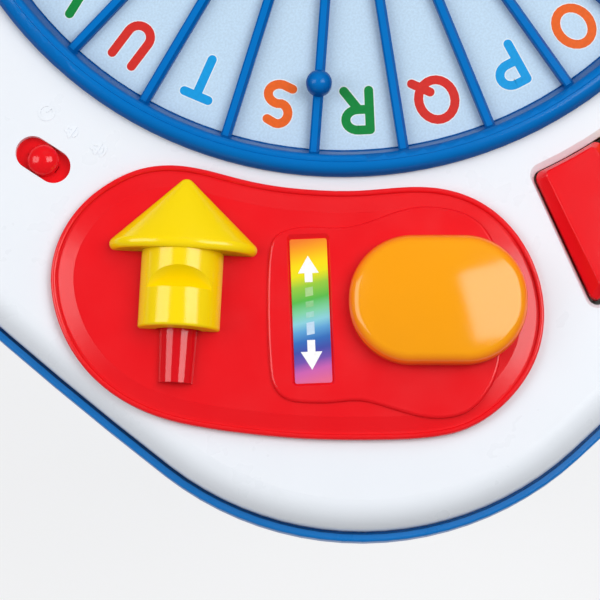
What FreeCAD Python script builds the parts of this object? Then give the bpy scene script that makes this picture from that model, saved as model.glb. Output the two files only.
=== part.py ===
# Musical activity table, millimetres, +Z up, floor at z = 0.
# The model is laid out with the photographed corner towards -Y and turned -45 degrees on export,
# so the row's flat sides are square to X and Y and the photographed corner points to (-X, -Y).
import os
import math
import FreeCAD
import Part

V = FreeCAD.Vector
ORIGIN = V(0, 0, 0)
UP = V(0, 0, 1)
EXPORT_TURN = -45.0
INNER_TURN = 45.0

# Driving sizes of the housing
HALF_FLAT = 206.5
CORNER_REACH = 244.3
CORNER_R = 100.0
DECK_Z = 350.0
WALL = 2.5
RIM_TOP_Z = 339.0
LEDGE_Z = 335.0
RIM_LOW_Z = 330.0
FLOOR_Z = 294.0
RIM_LIP = 2.2
WHITE_INSET = 3.2
FLOOR_INSET = 11.0
DECK_ROLL_R = 9.0
DECK_UNDER = DECK_Z - WALL

# Clearances
SEAT_GAP = 0.2
SLIDE_GAP = 0.4
SHAFT_GAP = 0.08
SCREW_GAP = 0.05

# Alphabet wheel
SEGMENTS = 28
WHEEL_R = 132.2
WHEEL_LOW_R = 130.0
RECESS_R = 130.7
LIP_GAP = 0.3
CREST_R = 127.0
LABEL_OUT_R = 122.9
LABEL_IN_R = 64.2
SPOKE_W = 3.2
SPOKE_TOP_Z = 350.2
RECESS_Z = 343.5
WHEEL_FLOOR_T = 2.5
LABEL_T = 0.3
HUB_BOSS_R = 46.0
HUB_BORE_R = 40.0
PEG_R = 4.0
PEG_RING_R = 103.1
PEG_COUNT = 4

# Slider panel in the photographed corner
PANEL_TOP_Z = 353.0
PANEL_GROOVE_Z = 352.0
BEAD_W = 1.7
GROOVE_W = 0.7
SLOPE_W = 4.6
PLATEAU_TOP_Z = 354.2
PANEL_EDGE = [
    (-96.4, -163.0), (-93.6, -148.5), (-85.3, -136.9), (-77.4, -131.2), (-69.6, -127.8),
    (-61.8, -126.5), (-54.1, -127.0), (-46.4, -128.8), (-38.7, -131.2), (-31.1, -133.3),
    (-15.7, -135.9), (0.0, -136.8), (15.3, -136.3), (23.0, -136.9), (30.6, -138.9),
    (38.2, -142.9), (45.5, -149.8), (52.2, -162.0), (54.6, -175.5), (51.6, -190.5),
    (43.2, -202.6), (35.0, -209.0), (27.2, -212.4), (19.5, -213.8), (8.0, -214.2),
    (-3.5, -213.9), (-18.7, -213.0), (-34.0, -211.2), (-49.2, -208.6), (-64.4, -204.5),
    (-79.4, -196.1), (-86.9, -188.5), (-93.6, -176.5)]
PLATEAU_EDGE = [
    (-18.0, -147.6), (-22.9, -148.3), (-27.1, -150.5), (-28.9, -155.0), (-29.8, -163.0),
    (-30.4, -178.0), (-30.2, -190.3), (-29.2, -196.5), (-26.3, -200.2), (-20.0, -202.0),
    (-11.2, -202.3), (-3.2, -202.1), (2.2, -203.4), (9.0, -205.8), (16.2, -207.9),
    (22.6, -208.4), (30.0, -206.6), (34.3, -203.1), (38.7, -196.4), (40.8, -189.1),
    (42.6, -175.0), (42.2, -163.0), (40.0, -154.7), (37.3, -149.9), (33.0, -146.2),
    (26.0, -143.6), (18.0, -142.8), (10.0, -144.2), (2.0, -146.8), (-5.0, -148.2),
    (-12.0, -148.0)]
ARROW_TIP = (-53.4, -131.3)
ARROW_LEAN = 5.2
ARROW_HEAD_L = 23.2
ARROW_HEAD_HALF = 22.8
ARROW_HEAD_H = 13.8
ARROW_TIP_R = 2.6
ARROW_RIM_R = 1.9
ARROW_L = 47.0
ARROW_BODY_R = 12.6
ARROW_TRAVEL = 12.5
ROD_HALF = (6.3, 5.2)
ROD_H = 5.0
ROD_START = 32.0
ROD_END = 63.4
BORE_HALF = 7.0
BORE_H = 5.7
ARROW_STEM = (10.5, 17.5)
RAINBOW_W = 11.4
RAINBOW_L = 44.6
RAINBOW_C = (-16.9, -173.8)
PAD_C = (22.1, -172.5)
PAD_TURN = -2.3
PAD_W = 54.6
PAD_H = 39.6
PAD_CORNER = 19.2
PAD_T = 9.5
PAD_DOME_R = 95.0
PAD_EDGE_R = 3.8
LABEL_SINK = 0.9
PAD_TRAVEL = 12.0

# Power switch
SWITCH_R = 157.0
SWITCH_PHI = -38.6
SWITCH_LEAN = -35.5
SWITCH_SLOT = (18.4, 10.5)
KNOB_R = 4.8
KNOB_TRAVEL = 4.0

# Keyboard
KEYS = 5
KEY_PHI0 = 21.8
KEY_PHI1 = 68.2
KEY_IN_R = 143.3
KEY_OUT_R = 189.0
KEY_TOP_Z = 354.4
KEY_BEVEL_Z = 350.8
KEY_BEVEL_W = 3.3
KEY_LOW_Z = 346.0
KEY_AXIS_R = 151.0
KEY_AXIS_Z = 341.0
TRUNNION_R = 1.8
KEY_GAP = 0.6
FRAME_LOW_Z = 330.0

# Drum, roller, gears and song buttons in the other corners and flanks
DRUM_R0 = 183.0
DRUM_R = 39.1
DRUM_TRAVEL = 2.2
ROLLER_R0 = 182.0
ROLLER_Z = 343.0
ROLLER_R = 22.0
ROLLER_RIB = 2.0
AXLE_R = 2.5
GEAR_MODULE = 4.0
GEAR_TEETH = (18, 12)
GEAR_ANGLE = 25.0
GEAR_BACKLASH = 0.7
GEAR_L_C = (-186.0, 20.0)
GEAR_S_DIR = -76.56
GEAR_SPREAD = 0.3
GEAR_LOW_Z = DECK_Z + SEAT_GAP
GEAR_TOP_Z = 359.6
POST_R = 6.0
SONG_R0 = 168.0
SONG_STEP = 10.5
SONG_R = 9.0
SPEAKER_R0 = 165.0

# Legs
LEG_R0 = 186.0
SOCKET_R = 18.0
SOCKET_TOP_Z = 316.0
LEG_GAP = 0.3
SCREW_R0 = 205.0
SCREW_PHI = 16.0

parts = {}


def block(x0, x1, y0, y1, z0, z1):
    return Part.makeBox(x1 - x0, y1 - y0, z1 - z0, V(x0, y0, z0))


def cyl(r, z0, z1, x=0.0, y=0.0):
    return Part.makeCylinder(r, z1 - z0, V(x, y, z0), UP)


def tube(r0, r1, z0, z1, x=0.0, y=0.0):
    return cyl(r1, z0, z1, x, y).cut(cyl(r0, z0 - 1, z1 + 1, x, y))


def swing(shape, phi):
    out = shape.copy()
    out.rotate(ORIGIN, UP, phi)
    return out


def spot(shape, r, phi):
    out = shape.copy()
    out.translate(V(0, -r, 0))
    out.rotate(ORIGIN, UP, phi)
    return out


def polar(r, phi, z=0.0):
    a = math.radians(phi)
    return V(r * math.sin(a), -r * math.cos(a), z)


def plate(wire, z0, z1):
    face = Part.Face(wire)
    face.translate(V(0, 0, z0))
    return face.extrude(V(0, 0, z1 - z0))


def sector(r0, r1, p0, p1, z0, z1):
    pm = (p0 + p1) / 2
    outer = Part.Arc(polar(r1, p0), polar(r1, pm), polar(r1, p1)).toShape()
    inner = Part.Arc(polar(r0, p1), polar(r0, pm), polar(r0, p0)).toShape()
    side_a = Part.makeLine(polar(r1, p1), polar(r0, p1))
    side_b = Part.makeLine(polar(r0, p0), polar(r1, p0))
    return plate(Part.Wire([outer, side_a, inner, side_b]), z0, z1)


def soft_sector(r0, r1, p0, p1, c):
    turns = []
    for rho, r in ((r1 - c, r1), (r0 + c, r0)):
        lean = math.degrees(math.asin(c / rho))
        reach = math.sqrt(rho ** 2 - c ** 2)
        for phi, sign in ((p0, 1), (p1, -1)):
            centre = polar(rho, phi + sign * lean)
            on_arc = polar(r, phi + sign * lean)
            on_line = polar(reach, phi)
            bisect = (on_arc - centre + on_line - centre).normalize()
            turns.append((on_arc, centre + bisect * c, on_line))
    far_0, far_1, near_0, near_1 = turns
    mid = (p0 + p1) / 2
    curves = [
        Part.Arc(far_0[0], polar(r1, mid), far_1[0]), Part.Arc(*far_1), Part.LineSegment(far_1[2], near_1[2]),
        Part.Arc(near_1[2], near_1[1], near_1[0]), Part.Arc(near_1[0], polar(r0, mid), near_0[0]),
        Part.Arc(*near_0), Part.LineSegment(near_0[2], far_0[2]), Part.Arc(far_0[2], far_0[1], far_0[0])]
    return Part.Wire([curve.toShape() for curve in curves])


def taper(low, z0, high, z1):
    low = low.copy()
    low.translate(V(0, 0, z0))
    high = high.copy()
    high.translate(V(0, 0, z1))
    return Part.makeLoft([low, high], True, True)


def rounded(w, h, r, x=0.0, y=0.0):
    a, b = w / 2, h / 2
    k = r * (1 - math.sqrt(0.5))
    edges = []
    corners = [(1, 1), (-1, 1), (-1, -1), (1, -1)]
    ends = []
    for i, (sx, sy) in enumerate(corners):
        p_x = V(x + sx * a, y + sy * (b - r), 0)
        p_y = V(x + sx * (a - r), y + sy * b, 0)
        mid = V(x + sx * (a - k), y + sy * (b - k), 0)
        start, end = (p_x, p_y) if i % 2 == 0 else (p_y, p_x)
        ends.append((start, mid, end))
    for i in range(4):
        start, mid, end = ends[i]
        edges.append(Part.Arc(start, mid, end).toShape())
        following = ends[(i + 1) % 4][0]
        if (following - end).Length > 1e-6:
            edges.append(Part.makeLine(end, following))
    return Part.Wire(edges)


def smooth_curve(points):
    curve = Part.BSplineCurve()
    curve.interpolate(Points=[V(x, y, 0) for x, y in points], PeriodicFlag=True)
    return curve


def smooth_loop(points):
    return Part.Wire([smooth_curve(points).toShape()])


# The same loop drawn a distance inside a clockwise one
def inner_loop(points, inset):
    curve = smooth_curve(points)
    count = 2 * len(points)
    moved = []
    for k in range(count):
        t = curve.FirstParameter + (curve.LastParameter - curve.FirstParameter) * k / count
        along = curve.tangent(t)[0]
        spot_on = curve.value(t)
        moved.append((spot_on.x + along.y * inset, spot_on.y - along.x * inset))
    return smooth_loop(moved)


def crown(start, end):
    # a rounded shoulder that leaves the side upright, then a level-topped cap of a sphere
    r = start.x
    h = end.z - start.z
    f = min(0.45 * h, 0.3 * r)
    cap = ((r - f) ** 2 + h ** 2 - f ** 2) / (2 * (h - f))
    centre = V(0, 0, end.z - cap)
    shoulder = V(r - f, 0, start.z)
    aim = (shoulder - centre).normalize()
    join = centre + aim * cap
    mid_a = shoulder + (V(1, 0, 0) + aim).normalize() * f
    mid_b = centre + (aim + UP).normalize() * cap
    return [Part.Arc(start, mid_a, join).toShape(), Part.Arc(join, mid_b, end).toShape()]


# A profile entry is (r, z), a line; (mid r, mid z, r, z), an arc; or ("crown", 0, z), a domed end
def turned(profile):
    edges = []
    start = V(profile[0][0], 0, profile[0][1])
    first = start
    for item in profile[1:]:
        end = V(item[-2], 0, item[-1])
        if len(item) == 4:
            edges.append(Part.Arc(start, V(item[0], 0, item[1]), end).toShape())
        elif len(item) == 3:
            edges.extend(crown(start, end))
        else:
            edges.append(Part.makeLine(start, end))
        start = end
    edges.append(Part.makeLine(start, first))
    return Part.Face(Part.Wire(edges)).revolve(ORIGIN, UP, 360)


def fillet_at(shape, z, r):
    picked = []
    for edge in shape.Edges:
        box = edge.BoundBox
        if abs(box.ZMin - z) < 1e-3 and abs(box.ZMax - z) < 1e-3:
            picked.append(edge)
    return shape.makeFillet(r, picked)


# Housing outline: four corner arcs joined by four slightly bowed flanks, all tangent
CORNER_D = CORNER_REACH - CORNER_R
CORNER_C = CORNER_D / math.sqrt(2)
FLANK_M = HALF_FLAT - CORNER_C
FLANK_R = (CORNER_C ** 2 / (FLANK_M - CORNER_R) + CORNER_R + FLANK_M) / 2
FLANK_BETA = math.degrees(math.atan2(CORNER_C, CORNER_C + FLANK_R - HALF_FLAT))


def ray(length, angle, z=0.0):
    a = math.radians(angle)
    return V(length * math.cos(a), length * math.sin(a), z)


def outline(inset, z=0.0):
    alpha = 45.0 - FLANK_BETA
    edges = []
    for k in range(4):
        diag = -90.0 + 90.0 * k
        centre = ray(CORNER_D, diag, z)
        r = CORNER_R - inset
        a = centre + ray(r, diag - alpha)
        b = centre + ray(r, diag)
        c = centre + ray(r, diag + alpha)
        edges.append(Part.Arc(a, b, c).toShape())
        normal = diag + 45.0
        mid = ray(HALF_FLAT - inset, normal, z)
        d = ray(CORNER_D, diag + 90.0, z) + ray(r, diag + 90.0 - alpha)
        edges.append(Part.Arc(c, mid, d).toShape())
    return Part.Wire(edges)


def slab(inset, z0, z1):
    return plate(outline(inset), z0, z1)


SCREW_SPOTS = [90.0 * k + s * SCREW_PHI for k in range(4) for s in (-1, 1)]

# Top shell: white deck with rolled edge, wheel recess, hub boss and the openings
deck = fillet_at(slab(WHITE_INSET, LEDGE_Z, DECK_Z), DECK_Z, DECK_ROLL_R)
hollow = slab(WHITE_INSET + WALL, LEDGE_Z - 1, DECK_UNDER)
hollow = fillet_at(hollow, DECK_UNDER, DECK_ROLL_R - WALL)
top = deck.cut(hollow)
adds = [cyl(RECESS_R + WALL, RECESS_Z - WALL, DECK_UNDER + 0.5)]
for phi in SCREW_SPOTS:
    adds.append(spot(cyl(4.4, 318.0, DECK_UNDER + 0.5), SCREW_R0, phi))
top = top.fuse(adds)
cuts = [cyl(RECESS_R, RECESS_Z, DECK_Z + 1)]
key_hole = soft_sector(KEY_IN_R, KEY_OUT_R, KEY_PHI0 - 0.1, KEY_PHI1 + 0.1, 2.8)
key_brim = soft_sector(KEY_IN_R - 1.9, KEY_OUT_R + 1.2, KEY_PHI0 - 0.45, KEY_PHI1 + 0.45, 3.8)
cuts.append(plate(key_hole, DECK_UNDER - 1, DECK_Z + 1))
cuts.append(taper(key_hole, DECK_Z - 1.6, key_brim, DECK_Z + 0.01))
cuts.append(spot(cyl(DRUM_R + 3.4, DECK_UNDER - 1, DECK_Z + 1), DRUM_R0, 90))
cuts.append(spot(block(-42, 42, -27, 27, DECK_UNDER - 1, DECK_Z + 1), ROLLER_R0, 180))
switch_slot = rounded(SWITCH_SLOT[0], SWITCH_SLOT[1], SWITCH_SLOT[1] / 2 - 0.01)
slot_cut = plate(switch_slot, DECK_UNDER - 1, DECK_Z + 1)
slot_cut.rotate(ORIGIN, UP, SWITCH_LEAN)
slot_cut.translate(polar(SWITCH_R, SWITCH_PHI))
cuts.append(slot_cut)
for k in (-1, 0, 1):
    cuts.append(spot(cyl(SONG_R + SLIDE_GAP, DECK_UNDER - 1, DECK_Z + 1), SONG_R0, -135 + SONG_STEP * k))
for k in range(7):
    y = -18.0 + 6.0 * k
    half = math.sqrt(23.0 ** 2 - y ** 2)
    cuts.append(spot(block(-half, half, y - 1.4, y + 1.4, DECK_UNDER - 1, DECK_Z + 1), SPEAKER_R0, 135))


def along_arrow(shape, dz=0.0):
    out = shape.copy()
    out.rotate(ORIGIN, UP, -90.0 - ARROW_LEAN)
    out.translate(V(ARROW_TIP[0], ARROW_TIP[1], dz))
    return out


stem_a, stem_b = ARROW_STEM
cuts.append(along_arrow(block(stem_a - 2, stem_b + ARROW_TRAVEL + 2, -5, 5, DECK_UNDER - 1, DECK_Z + 1)))


def at_pad(shape):
    out = shape.copy()
    out.rotate(ORIGIN, UP, PAD_TURN)
    out.translate(V(PAD_C[0], PAD_C[1], 0))
    return out


pad_run = PAD_TRAVEL + 5.0
cuts.append(at_pad(block(-7, 7, -pad_run - 2, pad_run + 2, DECK_UNDER - 1, DECK_Z + 1)))
gear_l = V(GEAR_L_C[0], GEAR_L_C[1], 0)
gear_span = GEAR_MODULE * sum(GEAR_TEETH) / 2 + GEAR_SPREAD
gear_s = gear_l + ray(gear_span, GEAR_S_DIR)
for c in (gear_l, gear_s):
    cuts.append(cyl(3.0 + SCREW_GAP, DECK_UNDER - 1, DECK_Z + 1, c.x, c.y))
cuts.append(cyl(HUB_BORE_R, RECESS_Z - WALL - 1, DECK_Z + 3))
for phi in SCREW_SPOTS:
    cuts.append(spot(cyl(1.5 + SCREW_GAP, 317.0, 330.0), SCREW_R0, phi))
top = top.cut(cuts)
boss = tube(HUB_BORE_R, HUB_BOSS_R, RECESS_Z - WALL, DECK_Z + 1.0)
song_posts = [spot(cyl(2.6, 339.6, DECK_UNDER + 0.5), SONG_R0, -135 + 15.6 * s) for s in (-1, 1)]
song_posts += [spot(cyl(2.6, 339.6, DECK_UNDER + 0.5), 155.5, -135 + SONG_STEP / 2 * s) for s in (-1, 1)]
parts["top_shell"] = top.fuse([boss] + song_posts).removeSplitter()

# Bottom shell: blue tub with the rim band, leg sockets, screw posts and board posts
rim = fillet_at(slab(0.0, RIM_LOW_Z, RIM_TOP_Z), RIM_TOP_Z, 0.9)
rim = rim.cut([slab(RIM_LIP, LEDGE_Z, RIM_TOP_Z + 1), slab(WHITE_INSET + WALL + 0.8, RIM_LOW_Z - 1, RIM_TOP_Z)])
tub_out = Part.makeLoft([outline(FLOOR_INSET, FLOOR_Z), outline(2.2, RIM_LOW_Z + 0.5)], True, True)
tub_in = Part.makeLoft([outline(FLOOR_INSET + WALL + 0.4, FLOOR_Z + WALL),
                        outline(WHITE_INSET + WALL + 0.8, RIM_LOW_Z + 0.6)], True, True)
tub = tub_out.cut(tub_in)
adds = [rim]
cuts = []
for k in range(4):
    phi = 90.0 * k
    adds.append(spot(cyl(SOCKET_R + WALL, FLOOR_Z + 1, SOCKET_TOP_Z), LEG_R0, phi))
    cuts.append(spot(cyl(SOCKET_R, FLOOR_Z - 1, SOCKET_TOP_Z - 2), LEG_R0, phi))
for phi in SCREW_SPOTS:
    adds.append(spot(cyl(5.4, FLOOR_Z + 1, 318.0), SCREW_R0, phi))
    cuts.append(spot(cyl(3.6, FLOOR_Z - 1, 306.0), SCREW_R0, phi))
    cuts.append(spot(cyl(1.5 + SCREW_GAP, 305.0, 319.0), SCREW_R0, phi))
for x in (-48, 48):
    for y in (-36, 36):
        adds.append(swing(cyl(3.5, FLOOR_Z + 1, 326.0, x, y), INNER_TURN))
cuts.append(swing(block(-38, 38, -32, 32, FLOOR_Z - 1, FLOOR_Z + WALL + 1), INNER_TURN))
parts["bottom_shell"] = tub.fuse(adds).cut(cuts).removeSplitter()
screws = []
for phi in SCREW_SPOTS:
    screw = cyl(3.0, 303.6, 306.0).fuse(cyl(1.5, 305.0, 329.0))
    screws.append(spot(screw.cut(block(-2, 2, -0.4, 0.4, 303, 304.6)), SCREW_R0, phi))
parts["shell_screws"] = Part.makeCompound(screws)

# Alphabet wheel
low = RECESS_Z + SEAT_GAP
floor_top = low + WHEEL_FLOOR_T
label_top = floor_top + LABEL_T
wheel = turned([
    (HUB_BOSS_R + SHAFT_GAP, low), (WHEEL_LOW_R, low), (WHEEL_LOW_R, DECK_Z + LIP_GAP),
    (WHEEL_R, DECK_Z + LIP_GAP), (WHEEL_R, 351.2), (131.3, 353.5, CREST_R + 1.3, 354.8),
    (CREST_R + 1.0, 354.5), (CREST_R, 354.6, 125.6, 353.4), (LABEL_OUT_R + 0.2, floor_top),
    (LABEL_IN_R - 0.2, floor_top),
    (LABEL_IN_R - 0.2, 350.0), (62.6, 350.5), (HUB_BOSS_R + SHAFT_GAP, 350.5)])
spokes = []
half = SPOKE_W / 2
section = Part.makePolygon([
    V(-half, -63.0, label_top), V(half, -63.0, label_top), V(half, -63.0, SPOKE_TOP_Z - 1.2),
    V(half - 0.9, -63.0, SPOKE_TOP_Z), V(-half + 0.5, -63.0, SPOKE_TOP_Z),
    V(-half, -63.0, SPOKE_TOP_Z - 0.5), V(-half, -63.0, label_top)])
spoke = Part.Face(section).extrude(V(0, -61.5, 0))
for i in range(SEGMENTS):
    spokes.append(swing(spoke, 360.0 / SEGMENTS * (i + 0.5)))
parts["alphabet_wheel"] = wheel.fuse(spokes).removeSplitter()
parts["wheel_label"] = tube(LABEL_IN_R, LABEL_OUT_R, floor_top, label_top)
peg = turned([(0, SPOKE_TOP_Z), (PEG_R, SPOKE_TOP_Z), (PEG_R, SPOKE_TOP_Z + 2.9),
              ("crown", 0, SPOKE_TOP_Z + 6.4)])
step = 360.0 / PEG_COUNT
pegs = [spot(peg, PEG_RING_R, -180.0 / SEGMENTS + step * k) for k in range(PEG_COUNT)]
parts["wheel_pegs"] = Part.makeCompound(pegs)

# Hub: bezel on the boss, press dome held under it
parts["hub_bezel"] = turned([
    (38.2, 351.0), (58.0, 351.0), (58.0, 352.4), (55.0, 355.2, 48.0, 356.2), (40.0, 356.2), (38.2, 354.6)])
parts["hub_button"] = turned([
    (0, 361.6), (0, 333.5), (4.0, 333.5), (4.0, 349.2), (39.3, 349.2), (39.3, 350.8),
    (37.8, 350.8), (37.8, 355.2), ("crown", 0, 364.4)])
parts["hub_membrane"] = turned([(0, 327.6), (9.0, 327.6), (9.0, 328.6), (5.5, 328.9), (4.5, 330.4), (0, 330.4)])

# Main board on the bottom shell's posts, with the lamps and a few components
board = block(-56, 56, -43, 43, 326.0, 327.6)
chips = [block(24, 38, -30, -18, 327.6, 329.2), block(-40, -28, 16, 28, 327.6, 329.2)]
chips += [cyl(4.0, 327.6, 334.0, 40, 26), block(-50, -36, -34, -26, 327.6, 332.0)]
parts["main_circuit_board"] = board.fuse(chips)
lamp = turned([(0, 327.6), (3.0, 327.6), (3.0, 333.8), ("crown", 0, 336.0)])
lamps = []
for k in range(3):
    one = lamp.copy()
    one.translate(polar(22.0, 120.0 * k))
    lamps.append(one)
parts["hub_lamps"] = Part.makeCompound(lamps)

# Slider panel: red insert with plateau, label frame, slots and the bead along its edge
panel = plate(smooth_loop(PANEL_EDGE), DECK_Z, PANEL_GROOVE_Z)
bead = plate(smooth_loop(PANEL_EDGE), DECK_Z + 1, PANEL_TOP_Z - 0.1)
bead = bead.cut(plate(inner_loop(PANEL_EDGE, BEAD_W), DECK_Z, PANEL_TOP_Z + 1))
bead = fillet_at(bead, PANEL_TOP_Z - 0.1, 0.7)
slope = taper(inner_loop(PANEL_EDGE, BEAD_W + GROOVE_W), PANEL_GROOVE_Z,
              inner_loop(PANEL_EDGE, BEAD_W + GROOVE_W + SLOPE_W), PANEL_TOP_Z)
plateau = fillet_at(plate(smooth_loop(PLATEAU_EDGE), DECK_Z + 1, PLATEAU_TOP_Z), PLATEAU_TOP_Z, 0.9)
rx, ry = RAINBOW_C
label_z = PLATEAU_TOP_Z - LABEL_SINK
pocket = taper(rounded(RAINBOW_W + 0.5, RAINBOW_L + 0.5, 0.9, rx, ry), label_z,
               rounded(RAINBOW_W + 1.7, RAINBOW_L + 2.5, 1.5, rx, ry + 0.3), PLATEAU_TOP_Z + 0.01)
pad_slot = at_pad(block(-5.4, 5.4, -pad_run - SLIDE_GAP, pad_run + SLIDE_GAP, DECK_Z - 1, PLATEAU_TOP_Z + 1))
arrow_slot = along_arrow(block(stem_a - SLIDE_GAP, stem_b + ARROW_TRAVEL + SLIDE_GAP, -3.4, 3.4,
                               DECK_Z - 1, PANEL_TOP_Z + 1))
panel = panel.fuse([bead, slope, plateau]).cut([pocket, pad_slot, arrow_slot])
parts["slider_panel"] = panel.removeSplitter()
parts["rainbow_label"] = plate(rounded(RAINBOW_W, RAINBOW_L, 0.7, rx, ry), label_z, label_z + 0.3)


def half_oval(s, w, h, z):
    points = []
    for k in range(9):
        a = math.pi * k / 8
        points.append(V(s, w * math.cos(a), z + h * math.sin(a)))
    curve = Part.BSplineCurve()
    curve.interpolate(Points=points)
    return Part.Wire([curve.toShape(), Part.makeLine(points[-1], points[0])])


base_z = PANEL_TOP_Z + SEAT_GAP


# Half of a cone with a rounded tip and rim, turned about the arrow's axis and flattened
def arrow_head():
    tip_c = V(ARROW_TIP_R, 0, 0)
    rim_c = V(ARROW_HEAD_L - ARROW_RIM_R, 0, ARROW_HEAD_HALF - ARROW_RIM_R)
    span = rim_c - tip_c
    lean = (ARROW_TIP_R - ARROW_RIM_R) / span.Length
    along = V(span).normalize()
    across = V(-along.z, 0, along.x)
    normal = along * lean + across * math.sqrt(1 - lean ** 2)
    tip_end = tip_c + normal * ARROW_TIP_R
    rim_start = rim_c + normal * ARROW_RIM_R
    rim_end = rim_c + V(ARROW_RIM_R, 0, 0)
    tip_mid = tip_c + (normal + V(-1, 0, 0)).normalize() * ARROW_TIP_R
    rim_mid = rim_c + (normal + V(1, 0, 0)).normalize() * ARROW_RIM_R
    foot_end = V(ARROW_HEAD_L, 0, 0)
    profile = Part.Wire([
        Part.Arc(ORIGIN, tip_mid, tip_end).toShape(), Part.makeLine(tip_end, rim_start),
        Part.Arc(rim_start, rim_mid, rim_end).toShape(), Part.makeLine(rim_end, foot_end),
        Part.makeLine(foot_end, ORIGIN)])
    cone = Part.Face(profile).revolve(ORIGIN, V(1, 0, 0), 360)
    flatten = FreeCAD.Matrix()
    flatten.scale(1, 1, ARROW_HEAD_H / ARROW_HEAD_HALF)
    cone = cone.transformGeometry(flatten)
    cone.translate(V(0, 0, base_z))
    return cone.common(block(-1, ARROW_HEAD_L + 1, -30, 30, base_z, base_z + 20))


head = arrow_head()
round_body = Part.makeCylinder(ARROW_BODY_R, ARROW_L - 12.0, V(12.0, 0, base_z), V(1, 0, 0))
far_rim = [edge for edge in round_body.Edges if abs(edge.BoundBox.XMin - ARROW_L) < 1e-3]
round_body = round_body.makeFillet(0.9, [edge for edge in far_rim if edge.BoundBox.XLength < 1e-3])
body = round_body.common(block(0, ARROW_L + 1, -20, 20, base_z, base_z + 20))
bore = Part.Face(half_oval(stem_b + 1.2, BORE_HALF, BORE_H, base_z - 0.01)).extrude(V(ARROW_L, 0, 0))
floor_arc = Part.Arc(V(28.4, 13, base_z + 12.7), V(31.4, 13, base_z + 9.7), V(35.2, 13, base_z + 7.6)).toShape()
walls = Part.makePolygon([V(35.2, 13, base_z + 7.6), V(35.2, 13, base_z + 16), V(28.4, 13, base_z + 16),
                          V(28.4, 13, base_z + 12.7)])
scoop = Part.Face(Part.Wire([floor_arc] + walls.Edges)).extrude(V(0, -26, 0))
stem = block(stem_a, stem_b, -3.0, 3.0, DECK_UNDER - SEAT_GAP, base_z + 1)
slider = head.fuse(body).cut([bore, scoop]).fuse(stem)
parts["arrow_slider"] = along_arrow(slider)
carriage = block(stem_a - 5, stem_b + 3, -9, 9, DECK_UNDER - SEAT_GAP - 2.4, DECK_UNDER - SEAT_GAP)
parts["arrow_carriage"] = along_arrow(carriage)
rod = Part.makeLoft([half_oval(ROD_START, ROD_HALF[0], ROD_H, PANEL_TOP_Z),
                     half_oval(ROD_END, ROD_HALF[1], ROD_H - 0.4, PANEL_TOP_Z)], True, True)
parts["slider_rod"] = along_arrow(rod)

# Orange pad on its carriage
pad_low = PLATEAU_TOP_Z + 0.7
pad = plate(rounded(PAD_W, PAD_H, PAD_CORNER), pad_low, pad_low + PAD_T + 2)
pad = pad.common(Part.makeSphere(PAD_DOME_R, V(0, 0, pad_low + PAD_T - PAD_DOME_R)))
brow = [edge for edge in pad.Edges if edge.BoundBox.ZMin > pad_low + 2]
pad = pad.makeFillet(PAD_EDGE_R, brow)
skid = plate(rounded(20, 26, 6), PLATEAU_TOP_Z + SEAT_GAP, pad_low + 0.5)
pad_stem = block(-5, 5, -5, 5, DECK_UNDER - SEAT_GAP, pad_low + 1)
parts["pad_slider"] = at_pad(pad.fuse([skid, pad_stem]))
parts["pad_carriage"] = at_pad(block(-11, 11, -8, 8, DECK_UNDER - SEAT_GAP - 2.4, DECK_UNDER - SEAT_GAP))

# Power switch: red floor plate, domed knob and the switch body under it


def at_switch(shape):
    out = shape.copy()
    out.rotate(ORIGIN, UP, SWITCH_LEAN)
    out.translate(polar(SWITCH_R, SWITCH_PHI))
    return out


sw_plate = block(-13, 13, -8.5, 8.5, DECK_UNDER - 1.6, DECK_UNDER)
parts["switch_plate"] = at_switch(sw_plate.cut(block(-5.6, 5.6, -1.5, 1.5, 340, 350)))
knob = turned([(0, DECK_UNDER + SEAT_GAP), (KNOB_R, DECK_UNDER + SEAT_GAP), (KNOB_R, 349.6), ("crown", 0, 352.4)])
parts["switch_knob"] = at_switch(knob.fuse(block(-1.1, 1.1, -1.1, 1.1, 343.6, 348)))
sw_body = block(-9, 9, -4, 4, 338.5, DECK_UNDER - 1.6).cut(block(-6, 6, -1.6, 1.6, 343.2, 347))
parts["switch_body"] = at_switch(sw_body)

# Keyboard: five keys hinged at their inner ends in a frame under the deck
key_step = (KEY_PHI1 - KEY_PHI0) / KEYS
key_frame = sector(KEY_IN_R - 4, KEY_OUT_R + 5, KEY_PHI0 - 2.2, KEY_PHI1 + 2.2, FRAME_LOW_Z, DECK_UNDER)
key_frame = key_frame.cut(sector(KEY_IN_R - 1.6, KEY_OUT_R + 2.6, KEY_PHI0 - 1.4, KEY_PHI1 + 1.4,
                                 FRAME_LOW_Z + 2, DECK_UNDER + 1))
posts = []
bores = []
for i in range(KEYS + 1):
    phi = KEY_PHI0 + key_step * i
    posts.append(spot(block(-2.2, 2.2, -3.2, 3.2, FRAME_LOW_Z + 1.5, KEY_AXIS_Z + 3.6), KEY_AXIS_R, phi))
chord = KEY_AXIS_R * math.radians(key_step) / 2
for i in range(KEYS):
    phi = KEY_PHI0 + key_step * (i + 0.5)
    hole = Part.makeCylinder(TRUNNION_R + SHAFT_GAP, 2 * chord - 1.2, V(-chord + 0.6, 0, KEY_AXIS_Z), V(1, 0, 0))
    bores.append(spot(hole, KEY_AXIS_R, phi))
parts["key_frame"] = key_frame.fuse(posts).cut(bores)
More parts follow.
